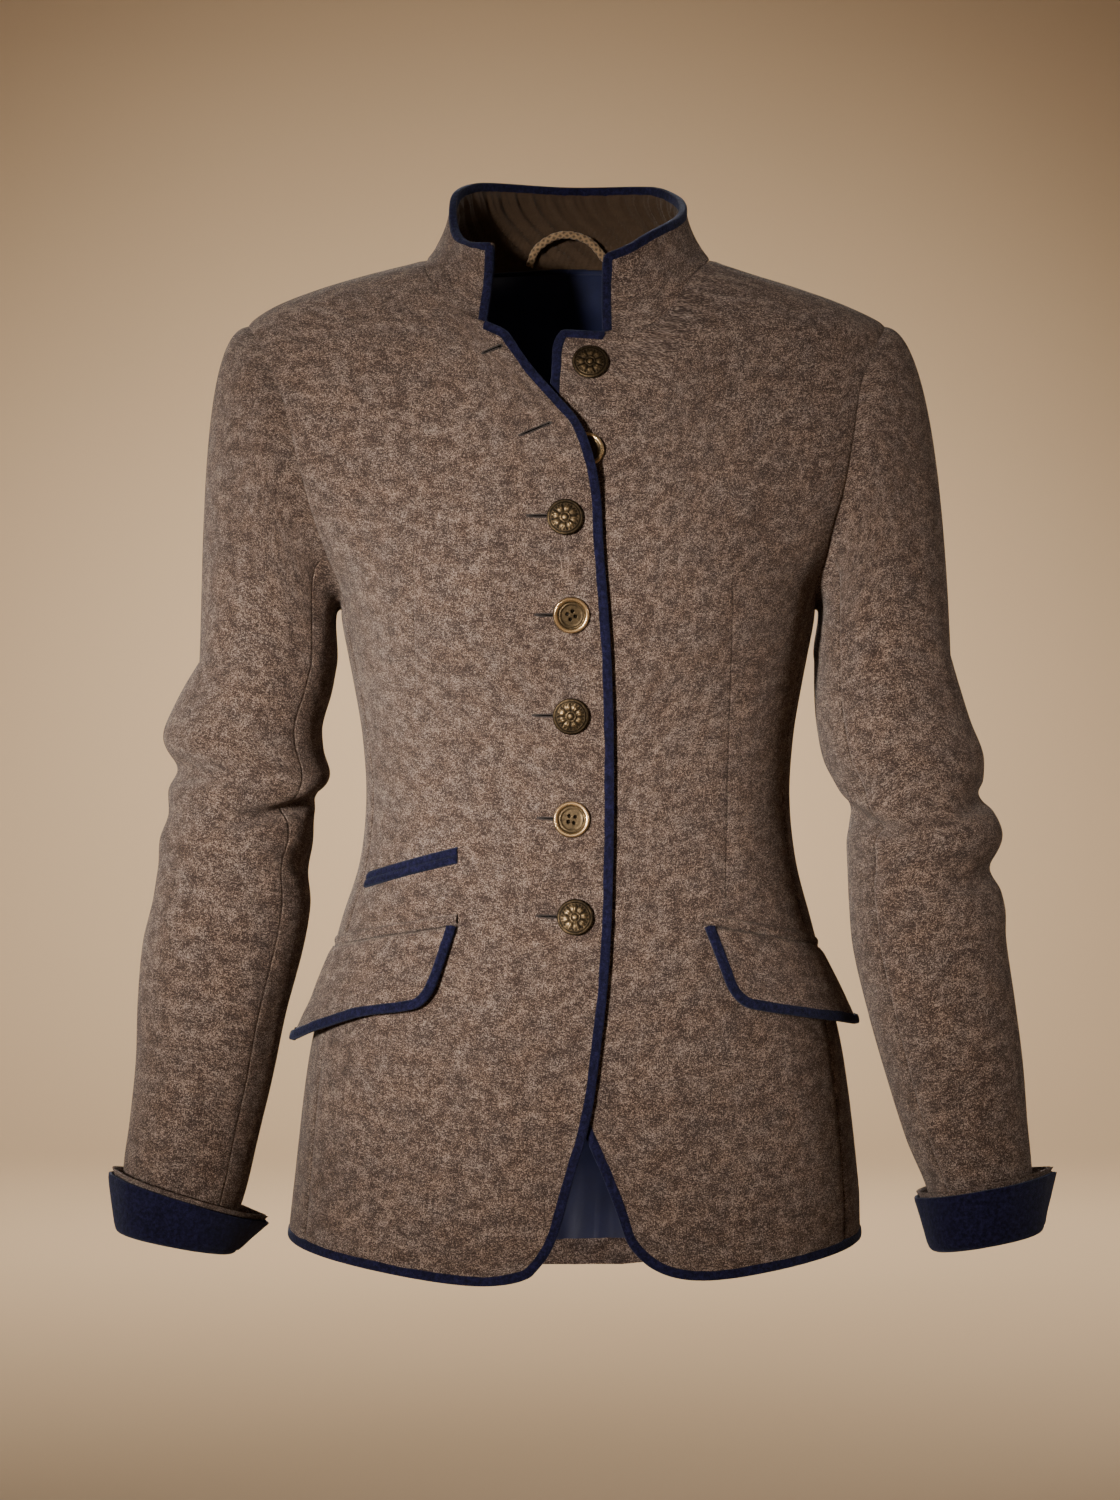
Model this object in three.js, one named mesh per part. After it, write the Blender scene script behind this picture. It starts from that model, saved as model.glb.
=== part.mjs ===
// A fitted wool blazer with a stand collar, bound edges, flap pockets and turned-back cuffs.
// Millimetres, +Z up, the front faces -Y, +X is the wearer's left.
// The origin is the middle of the neck base, level with the tops of the shoulders.
import * as THREE from 'three';

// Driving dimensions
const WOOL = 2.4; // wall of the wool cloth
const SATIN = 1.0; // wall of the lining and of the collar facing
const SEAM = 0.3; // gap between two pieces that are sewn together
const BAND = 6; // width of the felt binding
const BAND_LIFT = 0.5; // how far the binding stands over the wool on each face
const OVERLAP = 4.2; // how far the upper front lies over the lower one
const LAP = { from: -84, full: -34, wide: 26, tall: 24, clear: 2.4 };
const BUTTON_RADIUS = 10.8;
const BUTTON_HEIGHT = 4.6;
const BUTTON_SIDES = 13;
const FLAT_BUTTON = 0.72; // height of a flat button as a share of a domed one
const LOOP_RADIUS = 2.5;
const LINING_RISE = 14; // how far the lining ends above the back hem
const LINING_IN = 1; // how far it ends inside the back's other edges
const SQUARE = 2.3; // exponent of the torso's oval rings
const BUST = { x: 74, z: -212, wide: 44, tall: 50, rise: 9 };

// Torso rings: height, half width, depth to the front and to the back, x of the middle
const BODY = [
  { z: -640, half: 178, front: 121, back: 112, mid: 4 },
  { z: -590, half: 174, front: 120, back: 111, mid: 4 },
  { z: -562, half: 172, front: 119, back: 110, mid: 5 },
  { z: -486, half: 163, front: 116, back: 106, mid: 5 },
  { z: -440, half: 153, front: 113, back: 101, mid: 5 },
  { z: -401, half: 143, front: 109, back: 95, mid: 5 },
  { z: -366, half: 133, front: 104, back: 89, mid: 6 },
  { z: -328, half: 129, front: 101, back: 84, mid: 6 },
  { z: -290, half: 131, front: 104, back: 87, mid: 6 },
  { z: -257, half: 136, front: 109, back: 92, mid: 6 },
  { z: -225, half: 142, front: 116, back: 97, mid: 6 },
  { z: -201, half: 147, front: 118, back: 101, mid: 6 },
  { z: -182, half: 160, front: 117, back: 104, mid: 5 },
  { z: -161, half: 173, front: 115, back: 106, mid: 4 },
  { z: -143, half: 184, front: 111, back: 106, mid: 4 },
  { z: -120, half: 195, front: 105, back: 104, mid: 3 },
  { z: -98, half: 203, front: 97, back: 100, mid: 2 },
  { z: -68, half: 208, front: 84, back: 92, mid: 0 },
  { z: -54, half: 204, front: 78, back: 87, mid: 0 },
  { z: -40, half: 195, front: 71, back: 81, mid: -1 },
  { z: -28, half: 175, front: 65, back: 76, mid: -4 },
  { z: -17, half: 146, front: 59, back: 72, mid: -5 },
  { z: -8, half: 116, front: 54, back: 68, mid: -4 },
  { z: 0, half: 89, front: 49, back: 64, mid: 0 },
  { z: 8, half: 76, front: 43, back: 59, mid: 0 },
];

// The armhole in the side view: an egg around this middle
const ARMHOLE = { z: -126, tall: 86, front: 62, back: 56, blunt: 0.85 };
const SIDE_SEAMS = { turn: 150, frontHem: 72, backHem: 108 };
const HEM = { side: -592, front: -617, back: -622 };
const NECK = { half: 86, front: 75.5, back: 62, frontSquare: 3.2, backSquare: 2.4 };

// Front edges from the neck down to the hem: x at each height
const EDGE_RIGHT = [
  { x: -36, z: -50 },
  { x: -22, z: -71 },
  { x: -7, z: -89 },
  { x: 7, z: -108 },
  { x: 17, z: -138 },
  { x: 21, z: -186 },
  { x: 25, z: -240 },
  { x: 26.5, z: -330 },
  { x: 24, z: -420 },
  { x: 19, z: -471 },
  { x: 12, z: -518 },
  { x: 2, z: -552 },
  { x: -5, z: -578 },
  { x: -12, z: -594.5 },
  { x: -22, z: -607 },
];
const EDGE_LEFT = [
  { x: -4, z: -47 },
  { x: -8.5, z: -55 },
  { x: -9.5, z: -71 },
  { x: -13, z: -110 },
  { x: -18, z: -160 },
  { x: -22, z: -235 },
  { x: -22, z: -340 },
  { x: -17, z: -430 },
  { x: -5, z: -485 },
  { x: 12, z: -529 },
  { x: 19.5, z: -546 },
  { x: 29, z: -570 },
  { x: 36, z: -589 },
  { x: 46, z: -600 },
];
// Where the collar starts on each front
const COLLAR_START = { right: { x: -50, z: -45 }, left: { x: 22, z: -46 } };

// Sleeve sections: outer and inner point in the front view, y of the middle, half depth.
// x counts outwards from the middle of the garment.
const SLEEVE_RIGHT = [
  { outX: 224.5, outZ: -244, inX: 141, inZ: -247, mid: -2, deep: 54 },
  { outX: 234, outZ: -260, inX: 144, inZ: -263, mid: -3, deep: 54 },
  { outX: 244, outZ: -281, inX: 149.5, inZ: -283, mid: -4, deep: 54 },
  { outX: 245.5, outZ: -292, inX: 149, inZ: -296, mid: -5, deep: 53 },
  { outX: 239, outZ: -309, inX: 146.5, inZ: -312, mid: -7, deep: 51 },
  { outX: 243, outZ: -322, inX: 152, inZ: -327, mid: -8, deep: 53 },
  { outX: 243, outZ: -337, inX: 155, inZ: -340, mid: -9, deep: 52 },
  { outX: 248, outZ: -351, inX: 155.5, inZ: -354, mid: -10, deep: 52 },
  { outX: 249.5, outZ: -368, inX: 157.5, inZ: -372, mid: -11, deep: 51 },
  { outX: 252, outZ: -388, inX: 156.5, inZ: -392, mid: -13, deep: 50 },
  { outX: 258, outZ: -414, inX: 161, inZ: -419, mid: -15, deep: 48 },
  { outX: 261, outZ: -450, inX: 171, inZ: -457, mid: -18, deep: 46 },
  { outX: 262, outZ: -487, inX: 179, inZ: -496, mid: -21, deep: 43 },
  { outX: 265.5, outZ: -523, inX: 188, inZ: -534, mid: -24, deep: 40 },
  { outX: 269, outZ: -552, inX: 195, inZ: -564, mid: -26, deep: 38 },
  { outX: 267, outZ: -588, inX: 207, inZ: -600, mid: -29, deep: 32 },
];
const SLEEVE_LEFT = [
  { outX: 233, outZ: -240, inX: 150, inZ: -243, mid: -2, deep: 54 },
  { outX: 237.5, outZ: -256, inX: 150, inZ: -262, mid: -3, deep: 54 },
  { outX: 245, outZ: -280, inX: 151.5, inZ: -283, mid: -4, deep: 54 },
  { outX: 252, outZ: -300, inX: 156, inZ: -305, mid: -6, deep: 54 },
  { outX: 252.5, outZ: -316, inX: 165, inZ: -320, mid: -7, deep: 53 },
  { outX: 251.5, outZ: -325, inX: 170, inZ: -330, mid: -8, deep: 51 },
  { outX: 258.5, outZ: -335, inX: 171, inZ: -341, mid: -9, deep: 53 },
  { outX: 263, outZ: -350, inX: 169.5, inZ: -354, mid: -10, deep: 53 },
  { outX: 258, outZ: -369, inX: 170, inZ: -373, mid: -11, deep: 50 },
  { outX: 263, outZ: -384, inX: 170.5, inZ: -388, mid: -13, deep: 51 },
  { outX: 266, outZ: -414, inX: 173, inZ: -418, mid: -15, deep: 48 },
  { outX: 271, outZ: -450, inX: 182, inZ: -457, mid: -18, deep: 46 },
  { outX: 275.5, outZ: -487, inX: 193, inZ: -496, mid: -21, deep: 43 },
  { outX: 278, outZ: -523, inX: 205, inZ: -534, mid: -24, deep: 40 },
  { outX: 280.5, outZ: -552, inX: 217, inZ: -563, mid: -26, deep: 38 },
  { outX: 281, outZ: -588, inX: 225, inZ: -599, mid: -29, deep: 32 },
];
const SLEEVE_SEAMS = { front: 8, back: -5 }; // armhole cells from the top of the sleeve head
// How the sleeve head leaves the armhole and comes into the upper arm, in mm of pull
const HEAD = {
  outTop: 82,
  outSide: 26,
  outLow: 24,
  spread: 22,
  dropTop: 12,
  intoTop: 230,
  intoLow: 38,
  intoSide: 8,
};
const HEAD_ROWS = [0.82, 0.62, 0.44, 0.28, 0.16, 0.07, 0]; // shares of the way to the upper arm
const AWAY = 0.1; // least lean of the sleeve's wall away from the armhole's edge
const TUBE_BLUNT = 0.92; // a little under 1 makes the sleeve's sections blunter than an oval

// Turned-back cuffs: where each one is split, in degrees around from the outer side
const CUFF = {
  low: -588,
  clear: 1.2,
  flare: 2,
  wool: 1.6,
  felt: 2.2,
  rim: 2,
  cells: 20,
  halfSplit: 4,
  curl: 10,
};
const CUFF_SHAPE = {
  right: { split: 196, highOuter: -553, highInner: -566, tip: 12 },
  left: { split: -14, highOuter: -554, highInner: -555, tip: 8 },
};

// Collar: angles where it ends at the base and at the top, and the height of its top edge
const COLLAR = {
  top: { half: 72, front: 62, back: 67, square: 2.2 },
  rightEnd: { base: -34, top: -43 },
  leftEnd: { base: -344.5, top: -340 },
};
const COLLAR_TOP = [
  { turn: 340, z: -1 },
  { turn: 327, z: 5 },
  { turn: 311, z: 15 },
  { turn: 285, z: 27 },
  { turn: 270, z: 34 },
  { turn: 247, z: 44 },
  { turn: 228, z: 50.5 },
  { turn: 180, z: 52 },
  { turn: 132, z: 53 },
  { turn: 108, z: 46 },
  { turn: 90, z: 34 },
  { turn: 74, z: 17 },
  { turn: 60, z: 9 },
  { turn: 43, z: 7 },
].reverse();

// Flaps: x and heights along the width, from the inner end to the outer one
const FLAP = { top: 1.6, bottom: 9, inner: 0.45, clear: 0.6, rows: 4, cells: 10 };
const FLAP_RIGHT = [
  { top: -65, topZ: -402, low: -80, lowZ: -449 },
  { top: -90, topZ: -406, low: -96, lowZ: -453 },
  { top: -112, topZ: -410, low: -118, lowZ: -457 },
  { top: -130, topZ: -414, low: -142, lowZ: -467 },
  { top: -139, topZ: -417, low: -156, lowZ: -476 },
];
const FLAP_LEFT = [
  { top: 80, topZ: -402, low: 96, lowZ: -449 },
  { top: 103, topZ: -406, low: 113, lowZ: -453 },
  { top: 123, topZ: -410, low: 132, lowZ: -457 },
  { top: 140, topZ: -414, low: 153, lowZ: -462 },
  { top: 149, topZ: -418, low: 166, lowZ: -467 },
];
const JET = { high: 6.5, wall: 1.4, above: 1.6 };
const TICKET = { inX: -65, inZ: -355.5, outX: -121, outZ: -371, high: 5.2, wall: 1.6, bow: 0.9 };
const END_GAP = 1.3; // how far a binding stops short of the next piece
const COLLAR_END_GAP = 2.6;
const NOTCH_WIDTH = 2; // width that a binding narrows to where it meets the collar
const LAID = 1; // how far a piece laid on a front clears its facets

// Buttons down the front: place, kind, and whether they lie on the upper front
const BUTTONS = [
  { x: 13, z: -68, flat: false, upper: false },
  { x: 7, z: -121, flat: false, upper: false },
  { x: -2, z: -162, flat: false, upper: true },
  { x: 1.5, z: -218, flat: true, upper: true },
  { x: 1.5, z: -277, flat: false, upper: true },
  { x: 2, z: -339, flat: true, upper: true },
  { x: 4, z: -397, flat: false, upper: true },
];
const LOOP = [
  { x: -24, y: 53.5, z: 2 },
  { x: -19, y: 51.5, z: 13 },
  { x: -5, y: 49, z: 21 },
  { x: 12, y: 50, z: 18 },
  { x: 25, y: 52.5, z: 4 },
];

// Materials
const finish = (color, roughness, metalness = 0) =>
  new THREE.MeshStandardMaterial({ color, roughness, metalness });
const WOOL_FINISH = finish(0x7c6a5c, 0.95);
const FELT_FINISH = finish(0x1b2440, 0.95);
const SATIN_FINISH = finish(0x1a2038, 0.45);
const COTTON_FINISH = finish(0x5d4636, 0.85);
const BRASS_FINISH = finish(0x7d6a45, 0.45, 0.85);
const CORD_FINISH = finish(0x8a7050, 0.8);

const blazer = new THREE.Group();
blazer.name = 'blazer';

// Small tools
const { lerp, clamp, degToRad } = THREE.MathUtils;
const point = (x, y, z) => new THREE.Vector3(x, y, z);
const steps = (count) => Array.from({ length: count + 1 }, (_, i) => i / count);

// Value of a column at a place along the rising key of a table, on a smooth curve
function smooth(rows, key, value, column) {
  const last = rows.length - 1;
  const next = rows.findIndex((row) => row[key] > value);
  const i = next < 0 ? last : Math.max(next, 1);
  const slope = (k) => {
    const before = rows[Math.max(k - 1, 0)];
    const after = rows[Math.min(k + 1, last)];
    return (after[column] - before[column]) / (after[key] - before[key]);
  };
  const [low, high] = [rows[i - 1], rows[i]];
  const span = high[key] - low[key];
  const t = clamp((value - low[key]) / span, 0, 1);
  const rise = high[column] - low[column];
  const bend = t * (1 - t) * ((1 - t) * (slope(i - 1) * span - rise) - t * (slope(i) * span - rise));
  return low[column] + t * rise + bend;
}

// The value between low and high where a rising function crosses zero
function solve(low, high, test) {
  let [a, b] = [low, high];
  for (let i = 0; i < 40; i += 1) {
    const middle = (a + b) / 2;
    if (test(middle) > 0) b = middle;
    else a = middle;
  }
  return (a + b) / 2;
}

const ovalReach = (turn, half, depth, square) =>
  (Math.abs(Math.sin(turn) / half) ** square + Math.abs(Math.cos(turn) / depth) ** square) **
  (-1 / square);

// Torso surface, by the turn from the front middle and the height
function torso(turn, z) {
  const [half, front, back, mid] = ['half', 'front', 'back', 'mid'].map((column) =>
    smooth(BODY, 'z', z, column),
  );
  const depth = Math.cos(turn) > 0 ? front : back;
  let reach = ovalReach(turn, half, depth, SQUARE);
  if (Math.cos(turn) > 0) {
    const side = Math.abs(reach * Math.sin(turn)) - BUST.x;
    reach += BUST.rise * Math.exp(-((side / BUST.wide) ** 2) - ((z - BUST.z) / BUST.tall) ** 2);
  }
  return point(mid + reach * Math.sin(turn), -reach * Math.cos(turn), z);
}

function normalOf(surface, u, v, du, dv) {
  const across = surface(u + du, v).sub(surface(u - du, v));
  const up = surface(u, v + dv).sub(surface(u, v - dv));
  return across.cross(up).normalize();
}

const torsoNormal = (turn, z) => normalOf(torso, turn, z, 0.01, 0.8);
const frontTurn = (x, z) =>
  solve(-Math.PI / 2, Math.PI / 2, (turn) => torso(turn, z).x - x);
const sideTurn = (side, y, z) => side * solve(0, Math.PI, (turn) => torso(turn, z).y - y);

// Raises the upper front over the lower one, and more over the hidden second button
function frontLift(x, z) {
  const over = THREE.MathUtils.smoothstep(x, LAP.from, LAP.full) * OVERLAP;
  const hidden = BUTTONS[1];
  const near = Math.exp(-(((x - hidden.x) / LAP.wide) ** 2) - ((z - hidden.z) / LAP.tall) ** 2);
  return over + near * (BUTTON_HEIGHT + LAP.clear);
}

// Closed solids from grids and rings
function addMesh(name, positions, faces, material) {
  const geometry = new THREE.BufferGeometry();
  geometry.setAttribute('position', new THREE.Float32BufferAttribute(positions.flat(), 3));
  geometry.setIndex(faces.flat());
  geometry.computeVertexNormals();
  const mesh = new THREE.Mesh(geometry, material);
  mesh.name = name;
  blazer.add(mesh);
}

const quad = (a, b, c, d) => [a, b, c, a, c, d];

// A wall between an outer and an inner grid of points, both as rows from the bottom up
function addWall(name, outer, inner, material) {
  const rows = outer.length;
  const columns = outer[0].length;
  const positions = [...outer.flat(), ...inner.flat()].map((p) => p.toArray());
  const at = (layer, j, i) => layer * rows * columns + j * columns + i;
  const faces = [];
  for (let j = 0; j < rows - 1; j += 1) {
    for (let i = 0; i < columns - 1; i += 1) {
      faces.push(quad(at(0, j, i), at(0, j, i + 1), at(0, j + 1, i + 1), at(0, j + 1, i)));
      faces.push(quad(at(1, j, i), at(1, j + 1, i), at(1, j + 1, i + 1), at(1, j, i + 1)));
    }
  }
  const rim = perimeter(rows, columns);
  rim.forEach(([j, i], k) => {
    const [nextJ, nextI] = rim[(k + 1) % rim.length];
    faces.push(quad(at(0, nextJ, nextI), at(0, j, i), at(1, j, i), at(1, nextJ, nextI)));
  });
  addMesh(name, positions, faces, material);
}

// Grid places around the edge: bottom, right side, top, left side
function perimeter(rows, columns) {
  const places = [];
  for (let i = 0; i < columns - 1; i += 1) places.push([0, i]);
  for (let j = 0; j < rows - 1; j += 1) places.push([j, columns - 1]);
  for (let i = columns - 1; i > 0; i -= 1) places.push([rows - 1, i]);
  for (let j = rows - 1; j > 0; j -= 1) places.push([j, 0]);
  return places;
}

// A solid through closed rings of points, with a flat cap at both ends
function addRings(name, rings, material) {
  const sides = rings[0].length;
  const middleOf = (ring) =>
    ring.reduce((sum, p) => sum.add(p), point(0, 0, 0)).divideScalar(sides);
  const positions = [...rings.flat(), middleOf(rings[0]), middleOf(rings[rings.length - 1])];
  const start = rings.length * sides;
  const faces = [];
  for (let k = 0; k < sides; k += 1) {
    const next = (k + 1) % sides;
    for (let j = 0; j < rings.length - 1; j += 1) {
      const base = j * sides;
      faces.push(quad(base + k, base + next, base + sides + next, base + sides + k));
    }
    faces.push([start, next, k], [start + 1, start - sides + k, start - sides + next]);
  }
  addMesh(name, positions.map((p) => p.toArray()), faces, material);
}

// Edges
// For a line of places with points and normals, the in-surface direction to the left of each
// step, and the shift that moves every place by the given distances
function leftOf(a, b) {
  const along = b.point.clone().sub(a.point);
  return a.normal.clone().add(b.normal).cross(along).normalize();
}

function shiftBetween(first, firstBy, second, secondBy) {
  const together = first.dot(second);
  const boundToSewn = Math.min(firstBy, secondBy) < SEAM && firstBy !== secondBy;
  if (together > 0.97 || (boundToSewn && together > 0.6)) {
    if (firstBy > secondBy) return first.clone().multiplyScalar(NOTCH_WIDTH + SEAM);
    if (secondBy > firstBy) return second.clone().multiplyScalar(NOTCH_WIDTH + SEAM);
    return first.clone().add(second).normalize().multiplyScalar(firstBy);
  }
  const room = 1 - together * together;
  return first
    .clone()
    .multiplyScalar((firstBy - secondBy * together) / room)
    .addScaledVector(second, (secondBy - firstBy * together) / room);
}

// Moves the edge of a grid of places inwards, by a distance for each step of the perimeter
function trimmed(grid, trims) {
  const places = perimeter(grid.length, grid[0].length);
  const cells = places.map(([j, i]) => grid[j][i]);
  const shifts = cells.map((cell, k) => {
    const before = (k + cells.length - 1) % cells.length;
    const after = (k + 1) % cells.length;
    return shiftBetween(
      leftOf(cells[before], cell),
      trims[before],
      leftOf(cell, cells[after]),
      trims[k],
    );
  });
  cells.forEach((cell, k) => cell.point.add(shifts[k]));
  return grid;
}

const wallOf = (grid, out) =>
  grid.map((row) => row.map((cell) => cell.point.clone().addScaledVector(cell.normal, out)));

// The felt binding: a rounded bar along a line of places, on the left of its direction
function addBinding(name, places, wall, endGap, narrowAt) {
  const line = places.map(copyOf);
  const pulled = (end, next) => end.point.addScaledVector(
    next.point.clone().sub(end.point).normalize(),
    endGap,
  );
  pulled(line[0], line[1]);
  pulled(line[line.length - 1], line[line.length - 2]);
  const middle = -wall / 2;
  const high = BAND_LIFT;
  const low = -wall - BAND_LIFT;
  const section = (width) => [
    [0, middle],
    [width * 0.2, low],
    [width, low],
    [width, high],
    [width * 0.2, high],
  ];
  const rings = line.map((cell, k) => {
    const before = line[Math.max(k - 1, 0)];
    const after = line[Math.min(k + 1, line.length - 1)];
    const first = leftOf(k > 0 ? before : cell, k > 0 ? cell : after);
    const second = leftOf(k < line.length - 1 ? cell : before, k < line.length - 1 ? after : cell);
    return section(k === narrowAt ? NOTCH_WIDTH : BAND).map(([inward, out]) =>
      cell.point
        .clone()
        .add(shiftBetween(first, inward, second, inward))
        .addScaledVector(cell.normal, out),
    );
  });
  addRings(name, rings, FELT_FINISH);
}

// Panels cut on the torso surface
// A line of chart places (turn, z), spread evenly along its length on the surface
function spread(line, count) {
  const points = line.map(([turn, z]) => torso(turn, z));
  const reached = [0];
  for (let k = 1; k < points.length; k += 1) {
    reached.push(reached[k - 1] + points[k].distanceTo(points[k - 1]));
  }
  const total = reached[reached.length - 1];
  return steps(count).map((share) => {
    const k = clamp(reached.findIndex((r) => r >= share * total), 1, points.length - 1);
    const t = (share * total - reached[k - 1]) / (reached[k] - reached[k - 1]);
    return [lerp(line[k - 1][0], line[k][0], t), lerp(line[k - 1][1], line[k][1], t)];
  });
}

const joined = (...lines) => lines.flatMap((line, k) => (k ? line.slice(1) : line));

// Fills the chart between four lines: bottom and top run across, left and right run up
function fillChart(bottom, top, left, right) {
  const columns = bottom.length - 1;
  const rows = left.length - 1;
  return left.map((_, j) =>
    bottom.map((__, i) => {
      const [u, v] = [i / columns, j / rows];
      return [0, 1].map(
        (axis) =>
          lerp(bottom[i][axis], top[i][axis], v) +
          lerp(left[j][axis], right[j][axis], u) -
          lerp(
            lerp(bottom[0][axis], bottom[columns][axis], u),
            lerp(top[0][axis], top[columns][axis], u),
            v,
          ),
      );
    }),
  );
}

const onTorso = (chart, lift = () => 0) =>
  chart.map((row) =>
    row.map(([turn, z]) => {
      const normal = torsoNormal(turn, z);
      const base = torso(turn, z);
      return { point: base.clone().addScaledVector(normal, lift(base.x, z)), normal };
    }),
  );

// Armhole place at an angle from its top; negative turns run over the back
function armhole(side, degrees) {
  const angle = degToRad(degrees);
  const deep = Math.sin(angle) > 0 ? -ARMHOLE.front : ARMHOLE.back;
  const y = deep * Math.abs(Math.sin(angle)) ** ARMHOLE.blunt;
  const z = ARMHOLE.z + ARMHOLE.tall * Math.cos(angle);
  return [sideTurn(side, y, z), z];
}

function hemAt(turn) {
  const facing = Math.cos(turn);
  const middle = facing > 0 ? HEM.front : HEM.back;
  return lerp(HEM.side, middle, Math.min(1, Math.abs(facing) ** 1.4 * 1.05));
}

const hemLine = (from, to) =>
  steps(24).map((t) => {
    const turn = lerp(from, to, t);
    return [turn, hemAt(turn)];
  });

function neckAt(degrees) {
  const turn = degToRad(degrees);
  const [depth, square] =
    Math.cos(turn) > 0 ? [NECK.front, NECK.frontSquare] : [NECK.back, NECK.backSquare];
  const reach = ovalReach(turn, NECK.half, depth, square);
  const z = solve(-8, 110, (drop) => {
    const [half, front, back] = ['half', 'front', 'back'].map((column) =>
      smooth(BODY, 'z', -drop, column),
    );
    return ovalReach(turn, half, Math.cos(turn) > 0 ? front : back, SQUARE) - reach;
  });
  return [turn, -z];
}

const neckLine = (from, to) => steps(24).map((t) => neckAt(lerp(from, to, t)));
const shoulderLine = (side) =>
  steps(16).map((t) => [
    (side * Math.PI) / 2,
    lerp(neckAt(90)[1], ARMHOLE.z + ARMHOLE.tall, t),
  ]);

// Angles that cut a stretch of the armhole into equal lengths
function armAngles(side, from, to, count) {
  const samples = steps(60).map((t) => lerp(from, to, t));
  const points = samples.map((degrees) => torso(...armhole(side, degrees)));
  const reached = [0];
  for (let k = 1; k < points.length; k += 1) {
    reached.push(reached[k - 1] + points[k].distanceTo(points[k - 1]));
  }
  return steps(count).map((share) => {
    const goal = share * reached[reached.length - 1];
    const k = clamp(reached.findIndex((r) => r >= goal), 1, samples.length - 1);
    const t = (goal - reached[k - 1]) / (reached[k] - reached[k - 1]);
    return lerp(samples[k - 1], samples[k], t);
  });
}

const armLine = (side, from, to, count) =>
  armAngles(side, from, to, count).map((degrees) => armhole(side, degrees));

// Side-front and side-back seams, from the hem up to the armhole
function seamLine(side, hemDegrees, armDegrees) {
  const [topTurn, topZ] = armhole(side, armDegrees);
  const lowTurn = side * degToRad(hemDegrees);
  return steps(20).map((t) => {
    const turn = lerp(lowTurn, topTurn, t);
    return [turn, lerp(hemAt(lowTurn), topZ, t)];
  });
}
const frontSeam = (side) => seamLine(side, SIDE_SEAMS.frontHem, SIDE_SEAMS.turn);
const backSeam = (side) => seamLine(side, SIDE_SEAMS.backHem, -SIDE_SEAMS.turn);

// Front edge from the hem up: a smooth line through the table
function edgeLine(table) {
  const places = table.map(({ x, z }) => point(x, 0, z)).reverse();
  return new THREE.CatmullRomCurve3(places, false, 'centripetal')
    .getPoints(90)
    .map((p) => [frontTurn(p.x, p.z), p.z]);
}

const SIDE_CELLS = 13; // cells up the side seam
const ARM_CELLS = 9; // cells up the front of the armhole
const BACK_SIDE_CELLS = 11;
const BACK_ARM_CELLS = 8;
const SIDE_PANEL_CELLS = 14;
const SIDE_TOP_CELLS = 5;
const NOTCH_CELLS = 1;
const NECK_CELLS = 4;
const BACK_NECK_CELLS = 3;
const COLLAR_ROWS = 3;
const SHOULDER_CELLS = 6;
const FRONT_CELLS = NOTCH_CELLS + NECK_CELLS + SHOULDER_CELLS;
const BACK_CELLS = BACK_NECK_CELLS + SHOULDER_CELLS;
const bound = BAND + SEAM;
const sewn = SEAM / 2;
const repeat = (value, count) => new Array(count).fill(value);

// A front panel from its edge to the side seam and the armhole
function frontPanel(side, table, collarStart, lift) {
  const edge = edgeLine(table);
  const startTurn = frontTurn(collarStart.x, collarStart.z);
  const startDegrees = THREE.MathUtils.radToDeg(startTurn);
  const corner = edge[edge.length - 1];
  const notch = steps(6).map((t) => {
    const [turn, z] = neckAt(startDegrees);
    return [lerp(corner[0], turn, t), lerp(corner[1], z, t)];
  });
  const top = joined(
    spread(notch, NOTCH_CELLS),
    spread(neckLine(startDegrees, side * 90), NECK_CELLS),
    spread(shoulderLine(side), SHOULDER_CELLS),
  );
  const low = edge[0];
  const hemStart = hemAt(low[0]);
  const bottom = hemLine(low[0], side * degToRad(SIDE_SEAMS.frontHem)).map(([turn, z], k, all) => [
    turn,
    z + (low[1] - hemStart) * (1 - k / (all.length - 1)) ** 6,
  ]);
  const outer = joined(
    spread(frontSeam(side), SIDE_CELLS),
    armLine(side, SIDE_SEAMS.turn, 0, ARM_CELLS),
  );
  const inner = spread(edge, SIDE_CELLS + ARM_CELLS);
  const across = spread(bottom, FRONT_CELLS);
  const rows = SIDE_CELLS + ARM_CELLS;
  if (side > 0) {
    const grid = onTorso(fillChart(across, top, inner, outer), lift);
    const trims = [
      ...repeat(bound, FRONT_CELLS),
      ...repeat(sewn, rows),
      ...repeat(sewn, SHOULDER_CELLS + NECK_CELLS),
      ...repeat(bound, NOTCH_CELLS),
      ...repeat(bound, rows),
    ];
    return { grid, trims };
  }
  const mirror = (line) => [...line].reverse();
  const grid = onTorso(fillChart(mirror(across), mirror(top), outer, inner), lift);
  const trims = [
    ...repeat(bound, FRONT_CELLS),
    ...repeat(bound, rows),
    ...repeat(bound, NOTCH_CELLS),
    ...repeat(sewn, NECK_CELLS + SHOULDER_CELLS),
    ...repeat(sewn, rows),
  ];
  return { grid, trims };
}

const copyOf = (cell) => ({ point: cell.point.clone(), normal: cell.normal.clone() });

function addPanel(name, grid, trims, material = WOOL_FINISH, from = 0, wall = WOOL) {
  const cut = trimmed(grid.map((row) => row.map(copyOf)), trims);
  addWall(name, wallOf(cut, from), wallOf(cut, from - wall), material);
}

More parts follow.
